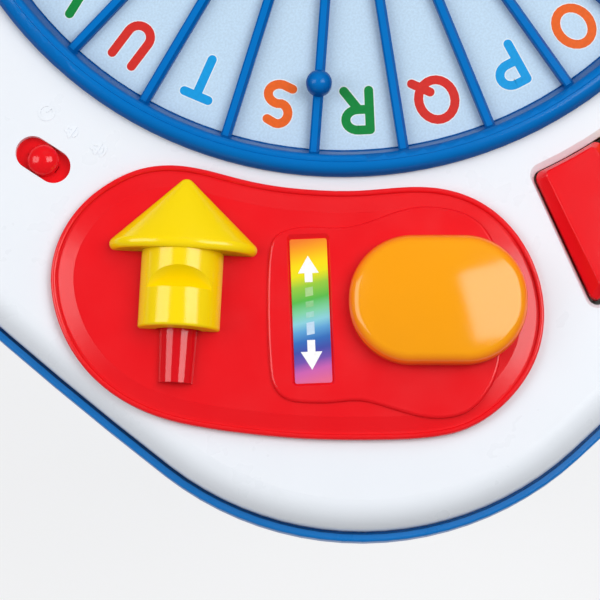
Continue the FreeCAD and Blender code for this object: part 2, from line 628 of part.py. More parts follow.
for i in range(KEYS):
    p0 = KEY_PHI0 + key_step * i
    mid = p0 + key_step / 2
    trim = math.degrees(KEY_GAP / 2 / 168.0)
    low_edge = soft_sector(KEY_IN_R + 0.6, KEY_OUT_R - 1.5, p0 + trim, p0 + key_step - trim, 2.4)
    lean = trim + math.degrees(KEY_BEVEL_W / 168.0)
    top_edge = soft_sector(KEY_IN_R + 1.9, KEY_OUT_R - 3.8, p0 + lean, p0 + key_step - lean, 1.8)
    cap = taper(low_edge, KEY_BEVEL_Z, top_edge, KEY_TOP_Z)
    cap = fillet_at(cap, KEY_TOP_Z, 0.8).fuse(plate(low_edge, KEY_LOW_Z, KEY_BEVEL_Z))
    web = block(-8, 8, -2.4, 2.4, KEY_AXIS_Z - 2.2, KEY_LOW_Z + 0.5)
    trunnion = Part.makeCylinder(TRUNNION_R, 2 * chord - 1.8, V(-chord + 0.9, 0, KEY_AXIS_Z), V(1, 0, 0))
    hinge = spot(web.fuse(trunnion), KEY_AXIS_R, mid)
    plunger = spot(cyl(3.0, 336.4, KEY_LOW_Z + 0.5), 180.0, mid)
    parts["piano_key_%d" % (i + 1)] = cap.fuse([hinge, plunger])
strip = sector(172, 188, KEY_PHI0 + 1, KEY_PHI1 - 1, FRAME_LOW_Z + 2, FRAME_LOW_Z + 2.8)
buds = []
for i in range(KEYS):
    buds.append(spot(cyl(4.5, FRAME_LOW_Z + 2.5, FRAME_LOW_Z + 3.6), 180.0, KEY_PHI0 + key_step * (i + 0.5)))
parts["key_membrane"] = strip.fuse(buds)

# Drum corner
cup = turned([(0, 336.0), (45.0, 336.0), (45.0, DECK_UNDER), (42.6, DECK_UNDER), (42.6, 338.2), (0, 338.2)])
parts["drum_cup"] = spot(cup, DRUM_R0, 90)
bezel = turned([
    (DRUM_R + SLIDE_GAP, DECK_Z), (47.5, DECK_Z), (47.5, DECK_Z + 0.8), (46.4, DECK_Z + 3.0, 43.6, DECK_Z + 3.6),
    (40.6, DECK_Z + 3.4), (DRUM_R + SLIDE_GAP, DECK_Z + 2.2)])
parts["drum_bezel"] = spot(bezel, DRUM_R0, 90)
drum = turned([
    (0, 346.6), (41.8, 346.6), (41.8, DECK_Z - SEAT_GAP), (DRUM_R, DECK_Z - SEAT_GAP), (DRUM_R, 353.4),
    ("crown", 0, 361.0)])
parts["drum_pad"] = spot(drum, DRUM_R0, 90)
parts["drum_ring"] = spot(tube(33.0, 38.5, 338.2, 343.8), DRUM_R0, 90)

# Roller corner
well = block(-45, 45, -30, 30, 318.0, DECK_UNDER).cut(block(-42.6, 42.6, -27.6, 27.6, 320.4, 350))
axle_hole = Part.makeCylinder(AXLE_R + SCREW_GAP, 92, V(-46, 0, ROLLER_Z), V(1, 0, 0))
parts["roller_well"] = spot(well.cut(axle_hole), ROLLER_R0, 180)
axle = Part.makeCylinder(AXLE_R, 89.6, V(-44.8, 0, ROLLER_Z), V(1, 0, 0))
parts["roller_axle"] = spot(axle, ROLLER_R0, 180)
barrel = Part.makeCylinder(ROLLER_R - 1.6, 80, V(-40, 0, ROLLER_Z), V(1, 0, 0))
barrel = barrel.fuse(Part.makeCylinder(6.0, 83.4, V(-41.7, 0, ROLLER_Z), V(1, 0, 0)))
ribs = []
for k in range(8):
    a = math.radians(45.0 * k)
    ribs.append(Part.makeCylinder(3.0, 76, V(-38, 18.2 * math.cos(a), ROLLER_Z + 18.2 * math.sin(a)), V(1, 0, 0)))
barrel = barrel.fuse(ribs).cut(Part.makeCylinder(AXLE_R + SHAFT_GAP, 90, V(-45, 0, ROLLER_Z), V(1, 0, 0)))
parts["roller_drum"] = spot(barrel.removeSplitter(), ROLLER_R0, 180)


# Meshed gears on posts: involute teeth with stub addendum
def involute(angle):
    return math.tan(angle) - angle


def gear_wire(teeth, centre, start):
    pitch = GEAR_MODULE * teeth / 2
    base = pitch * math.cos(math.radians(GEAR_ANGLE))
    root = pitch - 1.0 * GEAR_MODULE
    tip = pitch + 0.78 * GEAR_MODULE
    flank = (math.pi * GEAR_MODULE / 2 - GEAR_BACKLASH) / 2 / pitch
    ref = flank + involute(math.radians(GEAR_ANGLE))
    radii = [root] + [max(base, root) + (tip - max(base, root)) * k / 4 for k in range(5)]
    points = []
    for i in range(teeth):
        mid = math.radians(start) + 2 * math.pi * i / teeth
        side = []
        for r in radii:
            roll = involute(math.acos(min(1.0, base / max(r, base))))
            side.append((r, ref - roll))
        for r, a in side:
            points.append(centre + V(r * math.cos(mid - a), r * math.sin(mid - a), 0))
        for r, a in reversed(side):
            points.append(centre + V(r * math.cos(mid + a), r * math.sin(mid + a), 0))
    points.append(points[0])
    clean = [points[0]]
    for p in points[1:]:
        if (p - clean[-1]).Length > 0.02:
            clean.append(p)
    clean[-1] = clean[0]
    return Part.makePolygon(clean)


def gear(teeth, centre, start):
    solid = plate(gear_wire(teeth, centre, start), GEAR_LOW_Z, GEAR_TOP_Z - 1.0)
    pitch = GEAR_MODULE * teeth / 2
    solid = solid.cut(tube(12.0, pitch - 7.5, GEAR_TOP_Z - 4.0, GEAR_TOP_Z, centre.x, centre.y))
    solid = solid.fuse(cyl(12.0, GEAR_TOP_Z - 3.0, GEAR_TOP_Z, centre.x, centre.y))
    return solid.cut(cyl(POST_R + SHAFT_GAP, GEAR_LOW_Z - 1, GEAR_TOP_Z + 1, centre.x, centre.y))


large = gear(GEAR_TEETH[0], gear_l, GEAR_S_DIR)
knob_c = gear_l + ray(20.0, GEAR_S_DIR + 200)
finger = turned([(0, 355.0), (5.5, 355.0), (5.5, 364.0), ("crown", 0, 368.6)])
finger.translate(knob_c)
parts["gear_large"] = large.fuse(finger)
parts["gear_small"] = gear(GEAR_TEETH[1], gear_s, GEAR_S_DIR + 180.0 + 180.0 / GEAR_TEETH[1])
post = turned([
    (0, 344.0), (3.0, 344.0), (3.0, DECK_Z), (POST_R, DECK_Z), (POST_R, GEAR_TOP_Z + 0.3),
    (10.5, GEAR_TOP_Z + 0.3), (10.5, 361.4), ("crown", 0, 365.0)])
gear_posts = []
for c in (gear_l, gear_s):
    one = post.copy()
    one.translate(c)
    gear_posts.append(one)
parts["gear_posts"] = Part.makeCompound(gear_posts)

# Song buttons on the fourth flank, with their board
under = DECK_UNDER - SEAT_GAP
song = turned([
    (0, 345.2), (11.2, 345.2), (11.2, under), (SONG_R, under), (SONG_R, 352.4), ("crown", 0, 355.2)])
for k in (-1, 0, 1):
    parts["song_button_%d" % (k + 2)] = spot(song, SONG_R0, -135 + SONG_STEP * k)
song_board = sector(SONG_R0 - 16, SONG_R0 + 14, -135 - 16.5, -135 + 16.5, 338.0, 339.6)
parts["song_board"] = song_board
buds = [spot(cyl(5.0, 339.6, 343.4), SONG_R0, -135 + SONG_STEP * k) for k in (-1, 0, 1)]
parts["song_membranes"] = Part.makeCompound(buds)

# Speaker under the grille
speaker = turned([
    (0, 331.0), (15.0, 331.0), (15.0, 337.0), (17.0, 339.0), (26.0, 345.4), (28.0, 345.4), (28.0, DECK_UNDER),
    (25.0, DECK_UNDER), (24.0, 345.8), (9.0, 340.5), ("crown", 0, 343.2)])
parts["speaker"] = spot(speaker, SPEAKER_R0, 135)

# Battery box in the floor, cells, contacts, door and its screw
lid_z = FLOOR_Z + WALL
case = block(-41, 41, -35, 35, lid_z, lid_z + 2.0).fuse(block(-31, 31, -28, 28, lid_z, 316.0))
case = case.cut([block(-29, 29, -26, 26, lid_z - 1, 314.0), cyl(2.0, lid_z - 1, lid_z + 4, 34.5, 0)])
parts["battery_box"] = case
cells = []
for k in (-1, 0, 1):
    flip = 1 if k else -1
    cell = Part.makeCylinder(7.2, 49.0, V(-24.5 - 0.6 * flip, 16.4 * k, 305.4), V(1, 0, 0))
    nub = Part.makeCylinder(2.6, 1.2, V(23.9 if flip > 0 else -23.9, 16.4 * k, 305.4), V(flip, 0, 0))
    cells.append(cell.fuse(nub))
parts["batteries"] = Part.makeCompound(cells)
contacts = []
for k in (-1, 0, 1):
    flip = 1 if k else -1
    y = 16.4 * k
    contacts.append(block(28.4, 29.0, y - 5, y + 5, 299, 312) if flip > 0 else block(-29.0, -28.4, y - 5, y + 5, 299, 312))
    coil = Part.makeCone(5.0, 3.0, 3.2, V(-28.4 * flip, y, 305.4), V(flip, 0, 0))
    plate_x = -29.0 if flip > 0 else 28.4
    contacts.append(coil.fuse(block(plate_x, plate_x + 0.6, y - 5, y + 5, 299, 312)))
    pin_x = 25.1 if flip > 0 else -28.4
    contacts.append(block(pin_x, pin_x + 3.3, y - 2, y + 2, 303.4, 307.4))
parts["battery_contacts"] = Part.makeCompound(contacts)
door = plate(rounded(75.4, 63.4, 3.0), FLOOR_Z, lid_z)
grips = [block(-20 + 6 * k, -18 + 6 * k, -12, 12, FLOOR_Z - 1, FLOOR_Z + 0.8) for k in range(4)]
parts["battery_door"] = door.cut(grips + [cyl(1.7, FLOOR_Z - 1, lid_z + 1, 34.5, 0)])
parts["battery_door_screw"] = cyl(1.6, FLOOR_Z, 302.0, 34.5, 0).fuse(cyl(2.9, FLOOR_Z - 1.0, FLOOR_Z, 34.5, 0))

# Legs push up into the sockets; a rubber foot caps each one
leg = turned([
    (15.2, FLOOR_Z + 18), (SOCKET_R - LEG_GAP, FLOOR_Z + 18), (SOCKET_R - LEG_GAP, FLOOR_Z), (24.0, FLOOR_Z),
    (24.0, 289.5), (23.0, 286.5, 21.4, 284.0), (18.2, 268.0, 17.4, 240.0), (15.4, 24.0), (15.4, 4.0), (0, 4.0), (0, 6.5),
    (12.8, 6.5), (12.8, 24.0), (14.8, 240.0), (15.2, 270.0)])
foot = turned([(0, 0), (18.0, 0), (19.4, 1.6), (18.4, 22.0), (17.4, 24.0), (15.7, 24.0), (15.7, 4.0), (0, 4.0)])
feet = []
for k, name in enumerate(("front_left", "front_right", "back_right", "back_left")):
    parts["leg_" + name] = spot(leg, LEG_R0, 90.0 * k)
    feet.append(spot(foot, LEG_R0, 90.0 * k))
parts["leg_feet"] = Part.makeCompound(feet)

# The board and the battery parts sit square to the housing's flat sides
for name in ("main_circuit_board", "hub_lamps", "battery_box", "batteries", "battery_contacts",
             "battery_door", "battery_door_screw"):
    parts[name] = swing(parts[name], INNER_TURN)

os.makedirs("parts", exist_ok=True)
for name, shape in parts.items():
    turned_shape = swing(shape, EXPORT_TURN)
    turned_shape.exportStep("parts/%s.step" % name)
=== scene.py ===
import math

import bmesh
import bpy
from bpy.props import FloatProperty, FloatVectorProperty, PointerProperty
from mathutils import Matrix, Vector


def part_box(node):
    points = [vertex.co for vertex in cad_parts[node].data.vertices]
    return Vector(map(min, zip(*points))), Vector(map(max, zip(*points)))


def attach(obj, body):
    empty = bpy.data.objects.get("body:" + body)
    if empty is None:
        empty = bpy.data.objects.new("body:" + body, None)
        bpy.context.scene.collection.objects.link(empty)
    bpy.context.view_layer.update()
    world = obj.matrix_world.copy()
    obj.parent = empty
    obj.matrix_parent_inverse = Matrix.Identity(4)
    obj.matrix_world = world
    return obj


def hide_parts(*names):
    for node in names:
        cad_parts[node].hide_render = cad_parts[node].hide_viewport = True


bl_info = {
    "name": "Musical activity table",
    "version": (1, 0, 0),
    "blender": (4, 5, 0),
    "location": "View3D > Sidebar > Activity Table",
    "description": "Finishes, letters, printed labels and stage for the musical activity table",
    "category": "Object",
}

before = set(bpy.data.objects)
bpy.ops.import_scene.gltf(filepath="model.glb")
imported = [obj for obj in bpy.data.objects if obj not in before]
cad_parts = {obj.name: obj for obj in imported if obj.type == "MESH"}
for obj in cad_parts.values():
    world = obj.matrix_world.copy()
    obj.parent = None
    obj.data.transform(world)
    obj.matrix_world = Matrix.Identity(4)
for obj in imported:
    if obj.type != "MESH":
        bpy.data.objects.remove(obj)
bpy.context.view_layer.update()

# The part is drawn, in millimetres, with the photographed corner towards -Y, then turned into the row frame
MM = 0.001
TURN = math.radians(-45.0)
DECK_Z = 350.0

# Alphabet wheel: letter number FRONT_LETTER, counted from 0, stands at the photographed corner
LABEL_TOP_Z = 346.5
SEGMENTS = 28
SEGMENT_DEG = 360.0 / SEGMENTS
FRONT_LETTER = 17

# Arrow slider: places run back from its tip, and the bore is its start, half width and height
ARROW_TIP = (-53.4, -131.3)
ARROW_LEAN = 5.2
ARROW_HEAD_L = 23.2
ARROW_HEAD_HALF = 22.8
ARROW_HEAD_H = 13.8
ARROW_TIP_R = 2.6
ARROW_RIM_R = 1.9
ARROW_STEM = (10.5, 17.5)
ARROW_STEM_HALF = 3.0
ARROW_STEM_OVERLAP = 1.0
ARROW_BORE = (18.7, 7.0, 5.7)
ARROW_CUT_GAP = 0.02
ARROW_SHARP = math.radians(32.0)

# Rainbow label, with the stops of its colours from the wheel outward
RAINBOW_C = (-16.9, -173.8)
RAINBOW_L = 44.6
RAINBOW_SLANT = 0.22
RAINBOW_TOP_Z = 353.6
RAINBOW_STOPS = [
    (0.00, (243, 126, 38)), (0.07, (250, 166, 20)), (0.17, (254, 220, 4)), (0.24, (236, 228, 14)),
    (0.32, (150, 203, 62)), (0.42, (88, 188, 74)), (0.50, (126, 208, 162)), (0.57, (138, 208, 220)),
    (0.63, (92, 162, 214)), (0.70, (52, 110, 188)), (0.77, (66, 80, 170)), (0.84, (116, 82, 174)),
    (0.91, (204, 98, 176)), (1.00, (230, 106, 146))]

# Double arrow on the label, from the label's inner end: (tip, neck, tail, half width) of each head,
# and (start, end, colour) of each dash of the shaft
PRINT_SHIFT = -0.3
SHAFT_HALF = 1.2
PRINT_HEADS = [(5.2, 10.6, 13.4, 3.2), (40.5, 34.9, 31.3, 3.3)]
DASH_SLANT = 0.4
DASHES = [(15.2, 17.9, (170, 212, 140)), (19.5, 21.3, (140, 202, 140)), (22.8, 24.5, (158, 214, 200)),
          (26.0, 29.8, (190, 216, 238))]

# Crowned tops: height of the top and radius of the crown
HUB_DOME = (364.4, 118.6)
DRUM_DOME = (361.0, 157.8)
SONG_DOME = (355.2, 21.5)

# Raised signs: how far they reach into and above the top that carries them
SIGN_ROOT = -0.3
STAR_RISE = 0.35
NOTE_RISE = 0.45
DOT_RISE = 0.3
STAR_HEIGHT = 34.0
STAR_LINE = 2.2
DRUM_C = (183.0, 90.0)
DRUM_RINGS = (31.0, 26.5)
DRUM_RING_LINE = 1.4
NOTE_HEIGHT = 26.0
NOTE_LINE = 2.6
SONG_R0 = 168.0
SONG_PHI = -135.0
SONG_STEP = 10.5
DOT_R = 1.3
DOT_REACH = 2.6

# Power switch: the slot and the reach of the stem are a half length and a half width
SWITCH_C = (-97.95, -122.70)
SWITCH_LEAN = -35.5
SWITCH_FLOOR_Z = 347.5
SWITCH_FOOT_R = 5.0
SWITCH_FOOT_Z = (0.20, 0.60)
SWITCH_LIP_Z = (-0.9, -0.02)
SWITCH_SLOT_HALF = (5.6, 1.5)
SWITCH_STEM_REACH = (5.15, 1.15)
ICON_HEIGHT = 4.6
ICON_Z = (-0.05, 0.2)

# Plastic and film: scales of the noise, per metre, and how strongly film mirrors
PLASTIC_FLOW = 28.0
PLASTIC_SHEEN = 90.0
PLASTIC_IOR = 1.5
FILM_SHINE = 0.25

# Walls: the upward part of the normal between which the painted shade fades out and the mirroring changes
WALL_SHADE = (0.45, 0.97)
WALL_SHINE = (0.3, 0.8)

# Strokes: angle between the points of a round end, and the step that keeps crossing strokes apart
CAP_STEP = 17.8
CAP_POINTS = 5
STROKE_STEP = 0.004

# Light: what the soft lamps aim at, and the world's level for each kind of ray
LAMP_AIM = (-15.0, -168.0, DECK_Z)
SKY = (0.96, 0.98, 1.0, 1.0)
WHITE = (1.0, 1.0, 1.0, 1.0)
SKY_LEVEL = 0.40
MIRRORED_LEVEL = 0.10
BACKDROP_LEVEL = 1.0
FLOOR_HALF = 4.0
FLOOR_GLOW = 0.75

# The camera, found from the wheel's circle, its spokes and the deck's corner in the photograph
CAMERA_MM = (-20.10, -298.29, 914.11 + DECK_Z)
CAMERA_TILT = math.radians(-8.0)
CAMERA_ROLL = 0.0397
CAMERA_LENS = 180.0
CAMERA_SENSOR = 36.0


def linear(red, green, blue):
    """Scene-linear colour from display values of 0 to 255."""
    out = []
    for value in (red, green, blue):
        c = value / 255
        out.append(c / 12.92 if c <= 0.04045 else ((c + 0.055) / 1.055) ** 2.4)
    return tuple(out)


def row(x, y, z=0.0):
    """A drawing point in millimetres as a point of the row frame in metres."""
    return Vector((x * math.cos(TURN) - y * math.sin(TURN), x * math.sin(TURN) + y * math.cos(TURN), z)) * MM


def around(r, phi):
    """Drawing point at radius r, phi degrees to the right of the photographed corner."""
    a = math.radians(phi)
    return r * math.sin(a), -r * math.cos(a)


def turned(x, y, degrees, origin):
    """Drawing point of a local point, turned by an angle and moved to its origin."""
    a = math.radians(degrees)
    return origin[0] + x * math.cos(a) - y * math.sin(a), origin[1] + x * math.sin(a) + y * math.cos(a)


# Settings of the add-on

def colour(name, what, rgb):
    """A colour setting."""
    return FloatVectorProperty(name=name, description=what, subtype="COLOR", size=3, min=0.0, max=1.0,
                               default=linear(*rgb))


def length(name, what, mm):
    """A length setting, given in millimetres."""
    return FloatProperty(name=name, description=what, default=mm * MM, min=0.0, unit="LENGTH", precision=5)


class TableColours(bpy.types.PropertyGroup):
    """Colours of the plastics, the prints and the rubber"""
    deck: colour("Deck", "White plastic of the top shell", (237, 241, 247))
    shell: colour("Tub", "Blue plastic of the bottom shell", (0, 120, 202))
    wheel: colour("Wheel", "Blue plastic of the alphabet wheel", (0, 112, 192))
    # Painted shade: deeper blue for the wheel's sloping walls and the pegs' sides
    wheel_wall_shade: colour("Wheel walls", "Deeper blue where the wheel turns down", (0, 82, 156))
    label: colour("Wheel label", "Pale blue print under the letters", (192, 216, 236))
    outline: colour("Letter outline", "Pale line round each letter", (222, 232, 238))
    letter_red: colour("Red letters", "First letter colour", (212, 42, 34))
    letter_green: colour("Green letters", "Second letter colour", (0, 134, 58))
    letter_orange: colour("Orange letters", "Third letter colour", (232, 98, 28))
    letter_blue: colour("Blue letters", "Fourth letter colour", (0, 152, 220))
    panel: colour("Panel", "Red plastic of the slider panel", (237, 16, 26))
    arrow: colour("Arrow", "Yellow plastic of the arrow slider", (255, 220, 0))
    pad: colour("Pad", "Orange plastic of the sliding pad", (251, 162, 16))
    # Painted shade: deeper orange for the pad's steep sides
    pad_wall_shade: colour("Pad edge", "Deeper orange where the pad turns down", (255, 112, 24))
    rod: colour("Rod", "Clear red plastic of the rod", (230, 16, 28))
    green: colour("Green", "Green plastic of a key, the drum and a gear", (60, 176, 74))
    sky: colour("Sky blue", "Light blue plastic of a key", (20, 158, 224))
    purple: colour("Purple", "Purple plastic of a song button", (128, 74, 170))
    ink: colour("White print", "White of the printed arrow", (250, 250, 250))
    foot: colour("Foot", "Blue rubber of the feet", (8, 84, 150))


class TableSizes(bpy.types.PropertyGroup):
    """Sizes of the prints, the raised icons and the grain"""
    letter_foot_r: length("Letter foot radius", "Radius at the foot of the letters", 104.2)
    letter_height: length("Letter height", "Height of a letter between stroke centres", 12.5)
    stroke: length("Letter stroke", "Width of a letter's stroke", 2.85)
    outline: length("Outline", "Width of the pale line round a stroke", 0.35)
    print_lift: length("Print thickness", "How far printed shapes stand above their label", 0.04)
    icon_r: length("Icon radius", "Radius of the arc that the switch icons lie on", 144.7)
    icon_stroke: length("Icon stroke", "Width of the raised icon lines", 0.8)
    grain: length("Moulding grain", "Size of the fine grain in moulded plastic", 0.5)


def colours():
    """The table's colours in this scene."""
    return bpy.context.scene.table_colours


def sizes():
    """The table's sizes in this scene."""
    return bpy.context.scene.table_sizes


# Finishes

def new_material(name):
    """An empty material with its node tree and shader."""
    material = bpy.data.materials.new(name)
    material.use_nodes = True
    tree = material.node_tree
    tree.nodes.clear()
    out = tree.nodes.new("ShaderNodeOutputMaterial")
    shader = tree.nodes.new("ShaderNodeBsdfPrincipled")
    tree.links.new(shader.outputs["BSDF"], out.inputs["Surface"])
    return material, tree, shader


def object_point(tree):
    """The point on the object, in metres of the row frame."""
    return tree.nodes.new("ShaderNodeTexCoord").outputs["Object"]


def noise(tree, scale, detail=3.0):
    """Noise over the object."""
    texture = tree.nodes.new("ShaderNodeTexNoise")
    texture.inputs["Scale"].default_value = scale
    texture.inputs["Detail"].default_value = detail
    tree.links.new(object_point(tree), texture.inputs["Vector"])
    return texture.outputs["Fac"]


def spread(tree, factor, low, high, start=0.3, end=0.7):
    """A value that runs from low to high as factor runs from start to end."""
    node = tree.nodes.new("ShaderNodeMapRange")
    node.inputs["From Min"].default_value = start
    node.inputs["From Max"].default_value = end
    node.inputs["To Min"].default_value = low
    node.inputs["To Max"].default_value = high
    tree.links.new(factor, node.inputs["Value"])
    return node.outputs["Result"]


def shade(rgb, amount):
    """A colour made darker or paler, with its alpha."""
    return tuple(min(1.0, c * amount) for c in rgb) + (1.0,)


def mottle(tree, shader, factor, rgb, dark, pale):
    """A base colour that runs from a darker to a paler shade of rgb with factor."""
    node = tree.nodes.new("ShaderNodeMix")
    node.data_type = "RGBA"
    node.inputs["A"].default_value = shade(rgb, dark)
    node.inputs["B"].default_value = shade(rgb, pale)
    tree.links.new(factor, node.inputs["Factor"])
    tree.links.new(node.outputs["Result"], shader.inputs["Base Color"])


def bump(tree, shader, height, strength, distance):
    """Relief in the surface, from a height."""
    node = tree.nodes.new("ShaderNodeBump")
    node.inputs["Strength"].default_value = strength
    node.inputs["Distance"].default_value = distance
    tree.links.new(height, node.inputs["Height"])
    tree.links.new(node.outputs["Normal"], shader.inputs["Normal"])


def moulded(name, rgb, gloss=0.2, uneven=0.05, grain=0.05, clear=0.0, shine=0.5):
    """Moulded plastic: faint colour flow, uneven gloss and a fine grain in the surface."""
    material, tree, shader = new_material(name)
    flow = spread(tree, noise(tree, PLASTIC_FLOW, 4.0), 0.0, 1.0)
    mottle(tree, shader, flow, rgb, 1 - uneven, 1 + uneven)
    sheen = spread(tree, noise(tree, PLASTIC_SHEEN), gloss * 0.85, gloss * 1.2)
    tree.links.new(sheen, shader.inputs["Roughness"])
    bump(tree, shader, noise(tree, 1.0 / sizes().grain, 2.0), grain, 0.0002)
    shader.inputs["IOR"].default_value = PLASTIC_IOR
    shader.inputs["Specular IOR Level"].default_value = shine
    shader.inputs["Transmission Weight"].default_value = clear
    return material


def paint_wall_shade(material, rgb, wall_shine=None):
    """Painted shade: a deeper colour where the surface turns down to a wall, and if asked a duller surface
    there.
    """
    tree = material.node_tree
    shader = next(n for n in tree.nodes if n.type == "BSDF_PRINCIPLED")
    flow = shader.inputs["Base Color"].links[0].from_socket
    facing = tree.nodes.new("ShaderNodeNewGeometry")
    split = tree.nodes.new("ShaderNodeSeparateXYZ")
    tree.links.new(facing.outputs["Normal"], split.inputs["Vector"])
    # Painted shade: the deeper colour covers the walls and fades out as the surface faces up
    mix = tree.nodes.new("ShaderNodeMix")
    mix.data_type = "RGBA"
    mix.inputs["A"].default_value = shade(rgb, 1.0)
    tree.links.new(flow, mix.inputs["B"])
    tree.links.new(spread(tree, split.outputs["Z"], 0.0, 1.0, *WALL_SHADE), mix.inputs["Factor"])
    tree.links.new(mix.outputs["Result"], shader.inputs["Base Color"])
    if wall_shine is not None:
        level = shader.inputs["Specular IOR Level"]
        dulled = spread(tree, split.outputs["Z"], wall_shine, level.default_value, *WALL_SHINE)
        tree.links.new(dulled, level)
    return material


def printed(name, rgb, uneven=0.04, fleck=900.0):
    """Printed film: satin, with the fine fleck of ink on vinyl."""
    material, tree, shader = new_material(name)
    speck = spread(tree, noise(tree, fleck, 2.0), 0.0, 1.0, 0.35, 0.65)
    mottle(tree, shader, speck, rgb, 1 - uneven, 1 + uneven)
    bump(tree, shader, noise(tree, 400.0), 0.04, 0.0001)
    shader.inputs["Roughness"].default_value = 0.42
    shader.inputs["Specular IOR Level"].default_value = FILM_SHINE
    return material


def rubbery(name, rgb):
    """Dull rubber with a dusty colour."""
    material, tree, shader = new_material(name)
    dust = spread(tree, noise(tree, 120.0, 5.0), 0.0, 1.0)
    mottle(tree, shader, dust, rgb, 0.9, 1.12)
    bump(tree, shader, noise(tree, 1500.0, 2.0), 0.15, 0.0002)
    shader.inputs["Roughness"].default_value = 0.68
    return material


def metal(name, rgb, rough=0.3):
    """Steel with a fine brushed grain."""
    material, tree, shader = new_material(name)
    brushed = noise(tree, 600.0, 2.0)
    mottle(tree, shader, brushed, rgb, 0.9, 1.05)
    tree.links.new(spread(tree, brushed, rough * 0.8, rough * 1.3), shader.inputs["Roughness"])
    shader.inputs["Metallic"].default_value = 1.0
    return material


def circuit(name):
    """Green board with paler copper runs."""
    material, tree, shader = new_material(name)
    cells = tree.nodes.new("ShaderNodeTexBrick")
    cells.inputs["Scale"].default_value = 90.0
    cells.inputs["Mortar Size"].default_value = 0.08
    cells.inputs["Color1"].default_value = shade(linear(16, 92, 44), 1.0)
    cells.inputs["Color2"].default_value = shade(linear(20, 104, 50), 1.0)
    cells.inputs["Mortar"].default_value = shade(linear(54, 140, 70), 1.0)
    tree.links.new(object_point(tree), cells.inputs["Vector"])
    tree.links.new(cells.outputs["Color"], shader.inputs["Base Color"])
    shader.inputs["Roughness"].default_value = 0.35
    return material


def rainbow(name):
    """Colours that run along the label, from orange at the wheel to pink at the rim."""
    material, tree, shader = new_material(name)
    along = tree.nodes.new("ShaderNodeVectorMath")
    along.operation = "DOT_PRODUCT"
    along.inputs[1].default_value = row(1000.0 * RAINBOW_SLANT, -1000.0)
    tree.links.new(object_point(tree), along.inputs[0])
    middle = RAINBOW_SLANT * RAINBOW_C[0] - RAINBOW_C[1]
    near = (middle - RAINBOW_L / 2) * MM
    far = (middle + RAINBOW_L / 2) * MM
    ramp = tree.nodes.new("ShaderNodeValToRGB")
    tree.links.new(spread(tree, along.outputs["Value"], 0.0, 1.0, near, far), ramp.inputs["Fac"])
    band = ramp.color_ramp
    while len(band.elements) < len(RAINBOW_STOPS):
        band.elements.new(0.5)
    for element, (position, rgb) in zip(band.elements, RAINBOW_STOPS):
        element.position = position
    for element, (position, rgb) in zip(band.elements, RAINBOW_STOPS):
        element.color = shade(linear(*rgb), 1.0)
    tree.links.new(ramp.outputs["Color"], shader.inputs["Base Color"])
    bump(tree, shader, noise(tree, 500.0), 0.04, 0.0001)
    shader.inputs["Roughness"].default_value = 0.35
    shader.inputs["Specular IOR Level"].default_value = FILM_SHINE
    return material


def cell_wrap(name):
    """Battery sleeve: black with a copper band towards one end."""
    material, tree, shader = new_material(name)
    split = tree.nodes.new("ShaderNodeSeparateXYZ")
    tree.links.new(object_point(tree), split.inputs["Vector"])
    ramp = tree.nodes.new("ShaderNodeValToRGB")
    ramp.color_ramp.interpolation = "CONSTANT"
    black, copper = ramp.color_ramp.elements
    black.color = shade(linear(30, 30, 34), 1.0)
    copper.position = 0.62
    copper.color = shade(linear(196, 128, 62), 1.0)
    tree.links.new(spread(tree, split.outputs["X"], 0.0, 1.0, -0.025, 0.025), ramp.inputs["Fac"])
    tree.links.new(ramp.outputs["Color"], shader.inputs["Base Color"])
    shader.inputs["Roughness"].default_value = 0.3
    return material


def wear(nodes, material):
    """Give CAD nodes their finish."""
    for name in nodes:
        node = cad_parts[name]
        if node.material_slots:
            for held in node.material_slots:
                held.material = material
        else:
            node.data.materials.append(material)


# Mesh helpers

def piece(name, verts, faces, material, body, smooth=False):
    """A mesh of the scene's own that rides a body and takes a material slot."""
    mesh = bpy.data.meshes.new(name)
    mesh.from_pydata([tuple(v) for v in verts], [], faces)
    mesh.validate()
    mesh.update()
    if smooth:
        mesh.polygons.foreach_set("use_smooth", [True] * len(mesh.polygons))
    mesh.materials.append(material)
    made = bpy.data.objects.new(name, mesh)
    bpy.context.scene.collection.objects.link(made)
    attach(made, body)
    return made


